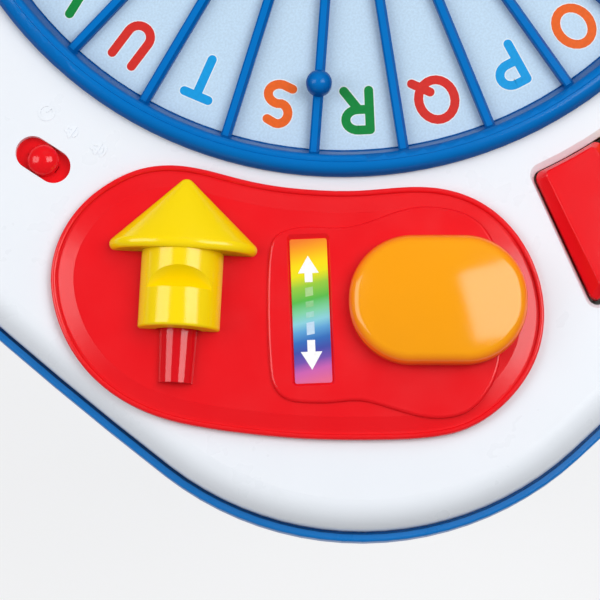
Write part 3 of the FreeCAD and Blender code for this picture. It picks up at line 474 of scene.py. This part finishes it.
class Sheet:
    """Collects flat printed or raised shapes, drawn in millimetres, into one mesh."""

    def __init__(self, ground=None):
        self.verts = []
        self.faces = []
        self.ground = ground

    def at(self, point, z):
        """A vertex z above the ground under the point."""
        x, y = point
        return row(x, y, z + (self.ground(x, y) if self.ground else 0.0))

    def strip(self, rows, low, high):
        """A closed plate from pairs of left and right points."""
        first = len(self.verts)
        for left, right in rows:
            self.verts += [self.at(left, low), self.at(right, low), self.at(right, high), self.at(left, high)]
        for k in range(len(rows) - 1):
            a = first + 4 * k
            b = a + 4
            self.faces += [(a + 3, a + 2, b + 2, b + 3), (a, b, b + 1, a + 1),
                           (a + 1, b + 1, b + 2, a + 2), (a, a + 3, b + 3, b)]
        last = first + 4 * (len(rows) - 1)
        self.faces += [(first, first + 1, first + 2, first + 3), (last, last + 3, last + 2, last + 1)]

    def stroke(self, points, width, low, high):
        """A line of that width through the points, with round ends."""
        half = width / 2
        points = [Vector(p) for p in points]
        count = len(points)

        def across(p, along, degrees=0.0):
            """Left and right points of the line, or of its round end at an angle."""
            a = math.radians(degrees)
            middle = p + along * half * math.sin(a)
            side = Vector((-along.y, along.x)) * half * math.cos(a)
            return middle + side, middle - side

        rows = []
        for k, p in enumerate(points):
            ahead = points[min(k + 1, count - 1)] - p
            behind = p - points[max(k - 1, 0)]
            along = (ahead.normalized() + behind.normalized()).normalized()
            if k == 0:
                rows += [across(p, along, -CAP_STEP * step) for step in range(CAP_POINTS, 0, -1)]
            rows.append(across(p, along))
            if k == count - 1:
                rows += [across(p, along, CAP_STEP * step) for step in range(1, CAP_POINTS + 1)]
        self.strip(rows, low, high)

    def loop(self, points, width, low, high):
        """A closed line of that width."""
        half = width / 2
        count = len(points)
        points = [Vector(p) for p in points]
        rows = []
        for k in range(count + 1):
            p = points[k % count]
            along = (points[(k + 1) % count] - points[(k - 1) % count]).normalized()
            side = Vector((-along.y, along.x))
            rows.append((p + side * half, p - side * half))
        first = len(self.verts)
        self.strip(rows, low, high)
        del self.faces[-2:]
        last = len(self.verts) - 4
        del self.verts[last:]
        self.faces = [tuple(first + (v - last) if v >= last else v for v in f) for f in self.faces]

    def blob(self, points, low, high):
        """A filled outline."""
        first = len(self.verts)
        count = len(points)
        for z in (low, high):
            self.verts += [self.at(p, z) for p in points]
        self.faces.append(tuple(first + count + k for k in range(count)))
        self.faces.append(tuple(first + count - 1 - k for k in range(count)))
        for k in range(count):
            n = (k + 1) % count
            self.faces.append((first + k, first + n, first + count + n, first + count + k))


def bow(cx, cy, rx, ry, start, end, count=14):
    """Points along an arc of an ellipse."""
    out = []
    for k in range(count + 1):
        a = math.radians(start + (end - start) * k / count)
        out.append((cx + rx * math.cos(a), cy + ry * math.sin(a)))
    return out


# Signs

# Letters as strokes in a cell one unit high; "ring" marks a closed stroke
LETTERS = {
    "A": [[(0, 0), (.34, 1)], [(.34, 1), (.68, 0)], [(.13, .34), (.55, .34)]],
    "B": [[(0, 0), (0, 1)], [(0, 1), (.26, 1)] + bow(.26, .76, .26, .24, 90, -90) + [(0, .52)],
          [(.26, .52)] + bow(.28, .26, .28, .26, 90, -90) + [(0, 0)]],
    "C": [bow(.4, .5, .4, .5, 48, 312)],
    "D": [[(0, 0), (0, 1)], [(0, 1), (.2, 1)] + bow(.2, .5, .44, .5, 90, -90) + [(0, 0)]],
    "E": [[(.48, 1), (0, 1)], [(0, 1), (0, 0)], [(0, 0), (.5, 0)], [(0, .52), (.42, .52)]],
    "F": [[(.48, 1), (0, 1)], [(0, 1), (0, 0)], [(0, .52), (.42, .52)]],
    "G": [bow(.4, .5, .4, .5, 50, 355), [(.79, .45), (.46, .45)]],
    "H": [[(0, 0), (0, 1)], [(.58, 0), (.58, 1)], [(0, .5), (.58, .5)]],
    "I": [[(0, 0), (0, 1)]],
    "J": [[(.42, 1), (.42, .3)] + bow(.2, .24, .22, .24, 0, -170)],
    "K": [[(0, 0), (0, 1)], [(.52, 1), (0, .4)], [(.17, .58), (.56, 0)]],
    "L": [[(0, 1), (0, 0)], [(0, 0), (.46, 0)]],
    "M": [[(0, 0), (.08, 1)], [(.08, 1), (.41, .26)], [(.41, .26), (.74, 1)], [(.74, 1), (.82, 0)]],
    "N": [[(0, 0), (0, 1)], [(0, 1), (.6, 0)], [(.6, 0), (.6, 1)]],
    "O": [["ring"] + bow(.42, .5, .42, .5, 0, 345, 23)],
    "P": [[(0, 0), (0, 1)], [(0, 1), (.3, 1)] + bow(.3, .73, .29, .27, 90, -90) + [(0, .46)]],
    "Q": [["ring"] + bow(.45, .51, .45, .51, 0, 345, 23), [(.56, .28), (.95, -.04)]],
    "R": [[(0, 0), (0, 1)], [(0, 1), (.3, 1)] + bow(.3, .74, .3, .26, 90, -90) + [(0, .48)],
          [(.27, .48), (.62, 0)]],
    "S": [[(.54, .94)] + bow(.29, .76, .24, .26, 80, 262) + bow(.33, .27, .3, .25, 84, -96) + [(.05, .09)]],
    "T": [[(0, 1), (.64, 1)], [(.32, 1), (.32, 0)]],
    "U": [[(0, 1), (0, .34)] + bow(.3, .3, .3, .3, 180, 360) + [(.6, .34), (.6, 1)]],
    "V": [[(0, 1), (.33, 0)], [(.33, 0), (.66, 1)]],
    "W": [[(0, 1), (.2, 0)], [(.2, 0), (.45, .8)], [(.45, .8), (.7, 0)], [(.7, 0), (.9, 1)]],
    "X": [[(0, 0), (.56, 1)], [(0, 1), (.56, 0)]],
    "Y": [[(0, 1), (.31, .48)], [(.62, 1), (.31, .48)], [(.31, .48), (.31, 0)]],
    "Z": [[(0, 1), (.54, 1)], [(.54, 1), (0, 0)], [(0, 0), (.56, 0)]],
}
ALPHABET = "ABCDEFGHIJKLMNOPQRSTUVWXYZ"
# How far, in millimetres outward, a letter stands off the common foot line
STAND_OFF = {"P": -1.2, "Q": 0.3, "S": -0.6, "T": -1.6}
NOTE = [[(.4, .14), (.4, 1)], [(.4, 1), (.52, .8), (.72, .66)],
        ["ring"] + bow(.24, .14, .13, .09, 0, 340, 17)]
STAR = [["ring"] + [around(0.5 if k % 2 else 0.22, 36 * k) for k in range(10)]]


def dome(centre, top, radius):
    """Height of a domed top over a drawing point."""
    def height(x, y):
        return top - radius + math.sqrt(radius ** 2 - (x - centre[0]) ** 2 - (y - centre[1]) ** 2)

    return height


def draw_sign(sheet, strokes, place, height, width, low, high):
    """Draw strokes at a place: a function from cell units to drawing millimetres."""
    lift = 0.0
    for stroke in strokes:
        closed = stroke[0] == "ring"
        points = [place(x * height, y * height) for x, y in stroke[1 if closed else 0:]]
        (sheet.loop if closed else sheet.stroke)(points, width, low, high + lift)
        lift += STROKE_STEP


def cell_width(strokes):
    """Left and right edges of a sign in its cell."""
    xs = [p[0] for s in strokes for p in s if p != "ring"]
    return min(xs), max(xs)


def radial_place(r0, phi, strokes, height, outward=1):
    """Cell units to drawing points, with the sign's top away from the wheel's centre."""
    left, right = cell_width(strokes)
    middle = (left + right) / 2 * height
    a = math.radians(phi)
    up = Vector((math.sin(a), -math.cos(a))) * outward
    side = Vector((up.y, -up.x))
    foot = Vector(around(r0, phi))
    return lambda x, y: foot + side * (x - middle) + up * y


# Steps, one operator for each group of parts

class TableOperator(bpy.types.Operator):
    """One step of the table: make() does the work with the colours and the sizes"""
    bl_options = {"REGISTER", "UNDO"}

    def execute(self, context):
        self.make(colours(), sizes())
        return {"FINISHED"}


class MUSICTABLE_OT_housing(TableOperator):
    """Finish the white deck, the blue tub, the legs and the feet"""
    bl_idname = "musictable.housing"
    bl_label = "Housing and legs"

    def make(self, paint, size):
        white = moulded("deck_white", paint.deck, gloss=0.3, uneven=0.006, grain=0.03)
        legs = ["leg_front_left", "leg_front_right", "leg_back_right", "leg_back_left"]
        wear(["top_shell"] + legs, white)
        wear(["bottom_shell", "battery_door", "roller_well"], moulded("tub_blue", paint.shell, gloss=0.3))
        wear(["leg_feet"], rubbery("foot_rubber", paint.foot))
        wear(["shell_screws", "battery_door_screw"], metal("screw_steel", linear(176, 178, 182)))


class MUSICTABLE_OT_wheel(TableOperator):
    """Finish the alphabet wheel and print its letters"""
    bl_idname = "musictable.wheel"
    bl_label = "Alphabet wheel"

    def make(self, paint, size):
        blue = moulded("wheel_blue", paint.wheel, gloss=0.17, uneven=0.03, shine=0.22)
        # Painted shade: the wheel and the pegs turn deeper blue where they face sideways
        wear(["alphabet_wheel", "wheel_pegs"], paint_wall_shade(blue, paint.wheel_wall_shade, wall_shine=0.02))
        wear(["wheel_label"], printed("wheel_label_print", paint.label, uneven=0.05, fleck=1400.0))
        inks = [("red", paint.letter_red), ("green", paint.letter_green), ("orange", paint.letter_orange),
                ("blue", paint.letter_blue)]
        sheets = [Sheet() for _ in inks]
        edge = Sheet()
        low = LABEL_TOP_Z
        lift = size.print_lift / MM
        width = size.stroke / MM
        height = size.letter_height / MM
        signs = [LETTERS[letter] for letter in ALPHABET] + [NOTE, STAR]
        for k, strokes in enumerate(signs):
            phi = (FRONT_LETTER - k) * SEGMENT_DEG
            foot = size.letter_foot_r / MM + STAND_OFF.get(ALPHABET[k:k + 1], 0.0)
            place = radial_place(foot, phi, strokes, height)
            draw_sign(sheets[k % 4], strokes, place, height, width, low, low + 2 * lift)
            draw_sign(edge, strokes, place, height, width + 2 * size.outline / MM, low, low + lift)
        for (name, rgb), sheet in zip(inks, sheets):
            piece("letters_" + name, sheet.verts, sheet.faces, printed("ink_" + name, rgb),
                  "wheel")
        piece("letter_outlines", edge.verts, edge.faces, printed("ink_outline", paint.outline),
              "wheel")


class MUSICTABLE_OT_hub(TableOperator):
    """Finish the hub's bezel and its press dome"""
    bl_idname = "musictable.hub"
    bl_label = "Hub"

    def make(self, paint, size):
        wear(["hub_bezel"], moulded("hub_yellow", paint.arrow, gloss=0.2))
        wear(["hub_button"], moulded("hub_clear_orange", linear(255, 152, 44), gloss=0.12, clear=0.1))
        membranes = ["hub_membrane", "key_membrane", "song_membranes", "drum_ring"]
        wear(membranes, rubbery("silicone", linear(206, 208, 204)))
        wear(["hub_lamps"], moulded("lamp_clear", linear(244, 244, 236), gloss=0.1, clear=0.7))
        star = Sheet(dome((0.0, 0.0), *HUB_DOME))
        draw_sign(star, STAR, lambda x, y: (x, y), STAR_HEIGHT, STAR_LINE, SIGN_ROOT, STAR_RISE)
        raised = moulded("hub_star_yellow", paint.arrow, gloss=0.15)
        piece("hub_star", star.verts, star.faces, raised, "hub")


def along_arrow(x, y, z):
    """A point x behind the arrow's tip and y to its side, as a point of the row frame."""
    return row(*turned(x, y, -90.0 - ARROW_LEAN, ARROW_TIP), z)


def arrow_profile():
    """Distance behind the tip and radius along the head: round tip, straight side, round rim."""
    rim_x = ARROW_HEAD_L - ARROW_RIM_R
    rim_r = ARROW_HEAD_HALF - ARROW_RIM_R
    slope = math.atan2(rim_r, rim_x - ARROW_TIP_R)
    reach = math.hypot(rim_x - ARROW_TIP_R, rim_r)
    turn_down = math.degrees(slope) + 90.0 - math.degrees(math.asin((ARROW_TIP_R - ARROW_RIM_R) / reach))
    out = bow(ARROW_TIP_R, 0.0, ARROW_TIP_R, ARROW_TIP_R, 180.0, turn_down, 8)
    return out + bow(rim_x, rim_r, ARROW_RIM_R, ARROW_RIM_R, turn_down, 0.0, 12)


def join(shell, near, far):
    """Quads between two rows of vertices."""
    for k in range(len(near) - 1):
        shell.faces.new((near[k], near[k + 1], far[k + 1], far[k]))


def add_head(shell, base):
    """The closed half cone, with the front end of the rod's bore in its underside."""
    flat = ARROW_HEAD_H / ARROW_HEAD_HALF
    half_circle = bow(0.0, 0.0, 1.0, 1.0, 0.0, 180.0, 48)
    rings = [[shell.verts.new(along_arrow(x, r * px, base + r * flat * py)) for px, py in half_circle]
             for x, r in arrow_profile()]
    for near, far in zip(rings, rings[1:]):
        join(shell, near, far)
    bore_x, bore_half, bore_h = ARROW_BORE
    arch = bow(0.0, 0.0, bore_half, bore_h, 0.0, 180.0, 24)
    inner, mouth = [[shell.verts.new(along_arrow(x, px, base + py)) for px, py in arch]
                    for x in (bore_x, ARROW_HEAD_L)]
    join(shell, inner, mouth)
    shell.faces.new(inner)
    shell.faces.new([ring[0] for ring in rings] + [mouth[0], inner[0], inner[-1], mouth[-1]]
                    + [ring[-1] for ring in reversed(rings)])
    shell.faces.new(rings[-1] + mouth[::-1])


def add_stem(shell, foot, top):
    """The block under the arrow that runs in the panel's slot."""
    front, back = ARROW_STEM
    corners = [shell.verts.new(along_arrow(x, y, z)) for z in (foot, top)
               for x, y in ((front, -ARROW_STEM_HALF), (back, -ARROW_STEM_HALF),
                            (back, ARROW_STEM_HALF), (front, ARROW_STEM_HALF))]
    for side in ((3, 2, 1, 0), (4, 5, 6, 7), (0, 1, 5, 4), (1, 2, 6, 5), (2, 3, 7, 6), (3, 0, 4, 7)):
        shell.faces.new([corners[k] for k in side])


def arrow_shell():
    """The arrow slider with a head that closes over the front of its round body."""
    low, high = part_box("arrow_slider")
    base = high[2] / MM - ARROW_HEAD_H
    shell = bmesh.new()
    shell.from_mesh(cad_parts["arrow_slider"].data)
    bmesh.ops.remove_doubles(shell, verts=shell.verts, dist=1e-6)
    start = along_arrow(ARROW_HEAD_L, 0.0, 0.0)
    back = along_arrow(ARROW_HEAD_L + 1.0, 0.0, 0.0) - start
    everything = shell.verts[:] + shell.edges[:] + shell.faces[:]
    cut = bmesh.ops.bisect_plane(shell, geom=everything, dist=1e-6, plane_co=start + back * ARROW_CUT_GAP,
                                 plane_no=back, clear_inner=True)
    open_edges = [e for e in cut["geom_cut"] if isinstance(e, bmesh.types.BMEdge)]
    bmesh.ops.holes_fill(shell, edges=open_edges, sides=0)
    add_head(shell, base)
    add_stem(shell, low[2] / MM, base + ARROW_STEM_OVERLAP)
    bmesh.ops.remove_doubles(shell, verts=shell.verts, dist=1e-6)
    bmesh.ops.recalc_face_normals(shell, faces=shell.faces)
    shell.verts.index_update()
    verts = [v.co.copy() for v in shell.verts]
    faces = [tuple(v.index for v in f.verts) for f in shell.faces]
    shell.free()
    return verts, faces


class MUSICTABLE_OT_slider_panel(TableOperator):
    """Finish the red panel, the arrow slider, the rod and the sliding pad"""
    bl_idname = "musictable.slider_panel"
    bl_label = "Slider panel"

    def make(self, paint, size):
        wear(["slider_panel"], moulded("panel_red", paint.panel, gloss=0.2, uneven=0.02))
        yellow = moulded("arrow_yellow", paint.arrow, gloss=0.17, uneven=0.02)
        wear(["arrow_slider"], yellow)
        verts, faces = arrow_shell()
        arrow = piece("arrow_slider_shell", verts, faces, yellow, "arrow", smooth=True)
        arrow.data.set_sharp_from_angle(angle=ARROW_SHARP)
        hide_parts("arrow_slider")
        # Painted shade: the pad turns deeper orange where its sides fall away
        wear(["pad_slider"], paint_wall_shade(moulded("pad_orange", paint.pad, gloss=0.1, uneven=0.02), paint.pad_wall_shade))
        wear(["slider_rod"], moulded("rod_clear_red", paint.rod, gloss=0.08, clear=0.1))
        wear(["arrow_carriage", "pad_carriage"], moulded("inner_white", linear(214, 214, 208), gloss=0.4))
        wear(["rainbow_label"], rainbow("rainbow_print"))
        self.double_arrow(paint, size)

    def double_arrow(self, paint, size):
        """Two-headed arrow with a fading, dashed shaft, printed on the rainbow label"""
        low = RAINBOW_TOP_Z
        high = low + size.print_lift / MM
        middle = RAINBOW_C[0] + PRINT_SHIFT
        left = middle - SHAFT_HALF
        right = middle + SHAFT_HALF
        edge = RAINBOW_C[1] + RAINBOW_L / 2

        def bar(sheet, start, end, slant=0.0):
            sheet.blob([(left, edge - end), (right, edge - end + slant),
                        (right, edge - start + slant), (left, edge - start)], low, high)

        heads = Sheet()
        for tip, neck, tail, half in PRINT_HEADS:
            corners = [(middle - half, edge - neck), (middle + half, edge - neck), (middle, edge - tip)]
            heads.blob(corners if tip < neck else corners[::-1], low, high)
            bar(heads, min(neck, tail), max(neck, tail))
        piece("slide_arrow_print", heads.verts, heads.faces, printed("ink_white", paint.ink),
              "base")
        for number, (start, end, rgb) in enumerate(DASHES, 1):
            sheet = Sheet()
            bar(sheet, start, end, DASH_SLANT)
            ink = printed("ink_dash_%d" % number, linear(*rgb))
            piece("slide_dash_%d" % number, sheet.verts, sheet.faces, ink, "base")


class MUSICTABLE_OT_switch(TableOperator):
    """Finish the power switch and raise its three icons on the deck"""
    bl_idname = "musictable.switch"
    bl_label = "Power switch"

    def make(self, paint, size):
        red = moulded("switch_red", paint.panel, gloss=0.12)
        wear(["switch_knob", "switch_plate", "switch_body"], red)
        self.close_slot(red)
        sheet = Sheet()
        low, high = [DECK_Z + z for z in ICON_Z]
        ring = [["ring"] + bow(0, 0, .5, .5, 0, 345, 23), [(0, .1), (0, .5)]]
        horn = [[(-.5, -.16), (-.5, .16)], [(-.5, .16), (-.28, .16), (-.05, .4)],
                [(-.5, -.16), (-.28, -.16), (-.05, -.4)], [(-.05, -.4), (-.05, .4)]]
        wave = [bow(-.05, 0, .3, .3, -40, 40, 8)]
        wide_wave = [bow(-.05, 0, .52, .52, -40, 40, 8)]
        signs = [(-41.8, ring), (-37.9, horn + wave), (-33.9, horn + wave + wide_wave)]
        for phi, strokes in signs:
            place = radial_place(size.icon_r / MM, phi, strokes, ICON_HEIGHT, -1)
            draw_sign(sheet, strokes, place, ICON_HEIGHT, size.icon_stroke / MM, low, high)
        raised = moulded("icon_white", paint.deck, gloss=0.3)
        piece("switch_icons", sheet.verts, sheet.faces, raised, "base")

    def close_slot(self, red):
        """A foot under the knob, and lips that narrow the plate's slot to the reach of the stem"""
        def add(sheet, points, levels):
            low, high = [SWITCH_FLOOR_Z + z for z in levels]
            sheet.blob([turned(x, y, SWITCH_LEAN, SWITCH_C) for x, y in points], low, high)

        foot = Sheet()
        add(foot, bow(0.0, 0.0, SWITCH_FOOT_R, SWITCH_FOOT_R, 0.0, 352.5, 47), SWITCH_FOOT_Z)
        piece("switch_foot", foot.verts, foot.faces, red, "switch")
        lips = Sheet()
        slot_x, slot_y = SWITCH_SLOT_HALF
        stem_x, stem_y = SWITCH_STEM_REACH
        for x0, x1, y0, y1 in ((-slot_x, -stem_x, -slot_y, slot_y), (-stem_x, stem_x, -slot_y, -stem_y),
                               (stem_x, slot_x, -slot_y, slot_y), (-stem_x, stem_x, stem_y, slot_y)):
            add(lips, [(x0, y0), (x1, y0), (x1, y1), (x0, y1)], SWITCH_LIP_Z)
        piece("switch_lips", lips.verts, lips.faces, red, "base")


class MUSICTABLE_OT_keys(TableOperator):
    """Finish the five piano keys and their frame"""
    bl_idname = "musictable.keys"
    bl_label = "Piano keys"

    def make(self, paint, size):
        for number, rgb in enumerate((paint.panel, paint.pad, paint.arrow, paint.green, paint.sky), 1):
            wear(["piano_key_%d" % number], moulded("key_%d" % number, rgb, gloss=0.16, uneven=0.02))
        wear(["key_frame", "drum_cup"], moulded("frame_white", linear(220, 220, 214), gloss=0.4))


class MUSICTABLE_OT_drum(TableOperator):
    """Finish the drum and raise a note on its pad"""
    bl_idname = "musictable.drum"
    bl_label = "Drum"

    def make(self, paint, size):
        wear(["drum_bezel"], moulded("drum_yellow", paint.arrow, gloss=0.2))
        wear(["drum_pad"], moulded("drum_green", paint.green, gloss=0.2))
        centre = around(*DRUM_C)
        sheet = Sheet(dome(centre, *DRUM_DOME))
        rings = [["ring"] + bow(centre[0], centre[1], r, r, 0, 354, 59) for r in DRUM_RINGS]
        draw_sign(sheet, rings, lambda x, y: (x, y), 1.0, DRUM_RING_LINE, SIGN_ROOT, NOTE_RISE)
        place = radial_place(DRUM_C[0] + NOTE_HEIGHT / 2, DRUM_C[1], NOTE, NOTE_HEIGHT, -1)
        draw_sign(sheet, NOTE, place, NOTE_HEIGHT, NOTE_LINE, SIGN_ROOT, NOTE_RISE)
        raised = moulded("drum_note_yellow", paint.arrow, gloss=0.2)
        piece("drum_note", sheet.verts, sheet.faces, raised, "drum")


class MUSICTABLE_OT_roller(TableOperator):
    """Finish the roller and its axle"""
    bl_idname = "musictable.roller"
    bl_label = "Roller"

    def make(self, paint, size):
        wear(["roller_drum"], moulded("roller_orange", paint.pad, gloss=0.2))
        wear(["roller_axle"], metal("axle_steel", linear(190, 192, 196)))


class MUSICTABLE_OT_gears(TableOperator):
    """Finish the two meshed gears and their posts"""
    bl_idname = "musictable.gears"
    bl_label = "Gears"

    def make(self, paint, size):
        wear(["gear_large"], moulded("gear_green", paint.green, gloss=0.2))
        wear(["gear_small"], moulded("gear_orange", paint.pad, gloss=0.2))
        wear(["gear_posts"], moulded("post_red", paint.panel, gloss=0.2))


class MUSICTABLE_OT_song_buttons(TableOperator):
    """Finish the three song buttons"""
    bl_idname = "musictable.song_buttons"
    bl_label = "Song buttons"

    def make(self, paint, size):
        for number, rgb in enumerate((paint.purple, paint.green, paint.pad), 1):
            wear(["song_button_%d" % number], moulded("song_%d" % number, rgb, gloss=0.18))
            phi = SONG_PHI + SONG_STEP * (number - 2)
            centre = around(SONG_R0, phi)
            dots = Sheet(dome(centre, *SONG_DOME))
            for k in range(number):
                spin = math.radians(360.0 * k / number + phi)
                reach = 0.0 if number == 1 else DOT_REACH
                spot = (centre[0] + reach * math.sin(spin), centre[1] - reach * math.cos(spin))
                dots.blob(bow(spot[0], spot[1], DOT_R, DOT_R, 0, 342, 19), SIGN_ROOT, DOT_RISE)
            raised = moulded("dots_white_%d" % number, paint.deck, gloss=0.3)
            piece("song_dots_%d" % number, dots.verts, dots.faces, raised,
                  "song_button_%d" % number)


class MUSICTABLE_OT_inside(TableOperator):
    """Finish the boards, the speaker and the battery box"""
    bl_idname = "musictable.inside"
    bl_label = "Inside parts"

    def make(self, paint, size):
        wear(["main_circuit_board", "song_board"], circuit("board_green"))
        wear(["speaker", "battery_box"], moulded("inner_black", linear(30, 30, 33), gloss=0.45))
        wear(["batteries"], cell_wrap("cell_sleeve"))
        wear(["battery_contacts"], metal("contact_steel", linear(200, 200, 202)))


# Stage

def shine(name, place, size, power, mirrored=True):
    """A soft box; one that isn't mirrored lights surfaces without a reflection of itself."""
    lamp = bpy.data.lights.new(name, "AREA")
    lamp.shape = "RECTANGLE"
    lamp.size, lamp.size_y = size
    lamp.energy = power
    holder = bpy.data.objects.new(name, lamp)
    holder.location = row(*place)
    holder.rotation_euler = (row(*place) - row(*LAMP_AIM)).to_track_quat("Z", "Y").to_euler()
    holder.visible_glossy = mirrored
    bpy.context.scene.collection.objects.link(holder)


class MUSICTABLE_OT_stage(TableOperator):
    """Set the floor, the lamps, the world and the camera"""
    bl_idname = "musictable.stage"
    bl_label = "Stage and camera"

    def make(self, paint, size):
        self.floor()
        self.world()
        shine("right_softbox", (690.0, -20.0, 1440.0), (0.65, 0.85), 7.6)
        shine("left_softbox", (-963.0, -10.0, 1237.0), (0.7, 0.85), 6.3)
        shine("key_lamp", (500.0, 900.0, 1500.0), (1.2, 1.2), 5.0, mirrored=False)
        self.camera()

    def floor(self):
        """A pale floor that the camera sees at an even level"""
        mesh = bpy.data.meshes.new("floor")
        r = FLOOR_HALF
        mesh.from_pydata([(-r, -r, 0), (r, -r, 0), (r, r, 0), (-r, r, 0)], [], [(0, 1, 2, 3)])
        floor = bpy.data.objects.new("floor", mesh)
        bpy.context.scene.collection.objects.link(floor)
        material, tree, shader = new_material("floor_white")
        paper = spread(tree, noise(tree, 6.0), 0.0, 1.0)
        mottle(tree, shader, paper, (0.84, 0.84, 0.85), 1.0, 1.0357)
        shader.inputs["Roughness"].default_value = 0.8
        out = next(n for n in tree.nodes if n.type == "OUTPUT_MATERIAL")
        glow = tree.nodes.new("ShaderNodeEmission")
        glow.inputs["Strength"].default_value = 1.0
        path = tree.nodes.new("ShaderNodeLightPath")
        share = tree.nodes.new("ShaderNodeMath")
        share.operation = "MULTIPLY"
        share.inputs[1].default_value = FLOOR_GLOW
        mix = tree.nodes.new("ShaderNodeMixShader")
        tree.links.new(path.outputs["Is Camera Ray"], share.inputs[0])
        tree.links.new(share.outputs["Value"], mix.inputs["Fac"])
        tree.links.new(shader.outputs["BSDF"], mix.inputs[1])
        tree.links.new(glow.outputs["Emission"], mix.inputs[2])
        tree.links.new(mix.outputs["Shader"], out.inputs["Surface"])
        mesh.materials.append(material)

    def world(self):
        """Even light from all round, dim where it would only show as a reflection"""
        world = bpy.data.worlds.new("studio")
        bpy.context.scene.world = world
        world.use_nodes = True
        tree = world.node_tree
        tree.nodes.clear()
        out = tree.nodes.new("ShaderNodeOutputWorld")
        path = tree.nodes.new("ShaderNodeLightPath")
        shown = None
        for ray, rgb, strength in ((None, SKY, SKY_LEVEL), ("Is Glossy Ray", SKY, MIRRORED_LEVEL),
                                   ("Is Camera Ray", WHITE, BACKDROP_LEVEL)):
            light = tree.nodes.new("ShaderNodeBackground")
            light.inputs["Color"].default_value = rgb
            light.inputs["Strength"].default_value = strength
            if ray is None:
                shown = light.outputs["Background"]
                continue
            mix = tree.nodes.new("ShaderNodeMixShader")
            tree.links.new(path.outputs[ray], mix.inputs["Fac"])
            tree.links.new(shown, mix.inputs[1])
            tree.links.new(light.outputs["Background"], mix.inputs[2])
            shown = mix.outputs["Shader"]
        tree.links.new(shown, out.inputs["Surface"])

    def camera(self):
        """The photograph's camera"""
        data = bpy.data.cameras.new("photo_camera")
        data.lens = CAMERA_LENS
        data.sensor_width = CAMERA_SENSOR
        data.clip_end = 50.0
        camera = bpy.data.objects.new("photo_camera", data)
        see = Matrix.Rotation(CAMERA_ROLL, 4, "Z") @ Matrix.Rotation(CAMERA_TILT, 4, "X")
        stand = Matrix.Translation(Vector(CAMERA_MM) * MM) @ see.inverted()
        camera.matrix_world = Matrix.Rotation(TURN, 4, "Z") @ stand
        bpy.context.scene.collection.objects.link(camera)
        bpy.context.scene.camera = camera


# Panel and registration

OPERATORS = [
    MUSICTABLE_OT_housing, MUSICTABLE_OT_wheel, MUSICTABLE_OT_hub, MUSICTABLE_OT_slider_panel,
    MUSICTABLE_OT_switch, MUSICTABLE_OT_keys, MUSICTABLE_OT_drum, MUSICTABLE_OT_roller,
    MUSICTABLE_OT_gears, MUSICTABLE_OT_song_buttons, MUSICTABLE_OT_inside, MUSICTABLE_OT_stage]


class MUSICTABLE_PT_panel(bpy.types.Panel):
    """Lists the steps that finish the table"""
    bl_idname = "MUSICTABLE_PT_panel"
    bl_label = "Activity Table"
    bl_space_type = "VIEW_3D"
    bl_region_type = "UI"
    bl_category = "Activity Table"

    def draw(self, context):
        for operator in OPERATORS:
            self.layout.operator(operator.bl_idname)
        for group in (context.scene.table_colours, context.scene.table_sizes):
            box = self.layout.box()
            for name in group.bl_rna.properties.keys():
                if name not in ("rna_type", "name"):
                    box.prop(group, name)


CLASSES = [TableColours, TableSizes] + OPERATORS + [MUSICTABLE_PT_panel]


def register():
    """Add the settings, the steps and the panel"""
    for one in CLASSES:
        bpy.utils.register_class(one)
    bpy.types.Scene.table_colours = PointerProperty(type=TableColours)
    bpy.types.Scene.table_sizes = PointerProperty(type=TableSizes)


def unregister():
    """Take them away again"""
    del bpy.types.Scene.table_sizes
    del bpy.types.Scene.table_colours
    for one in reversed(CLASSES):
        bpy.utils.unregister_class(one)


def main():
    """Run every step in order"""
    register()
    bpy.context.scene.view_settings.view_transform = "Standard"
    for operator in OPERATORS:
        group, name = operator.bl_idname.split(".")
        getattr(getattr(bpy.ops, group), name)()


if __name__ == "__main__":
    main()
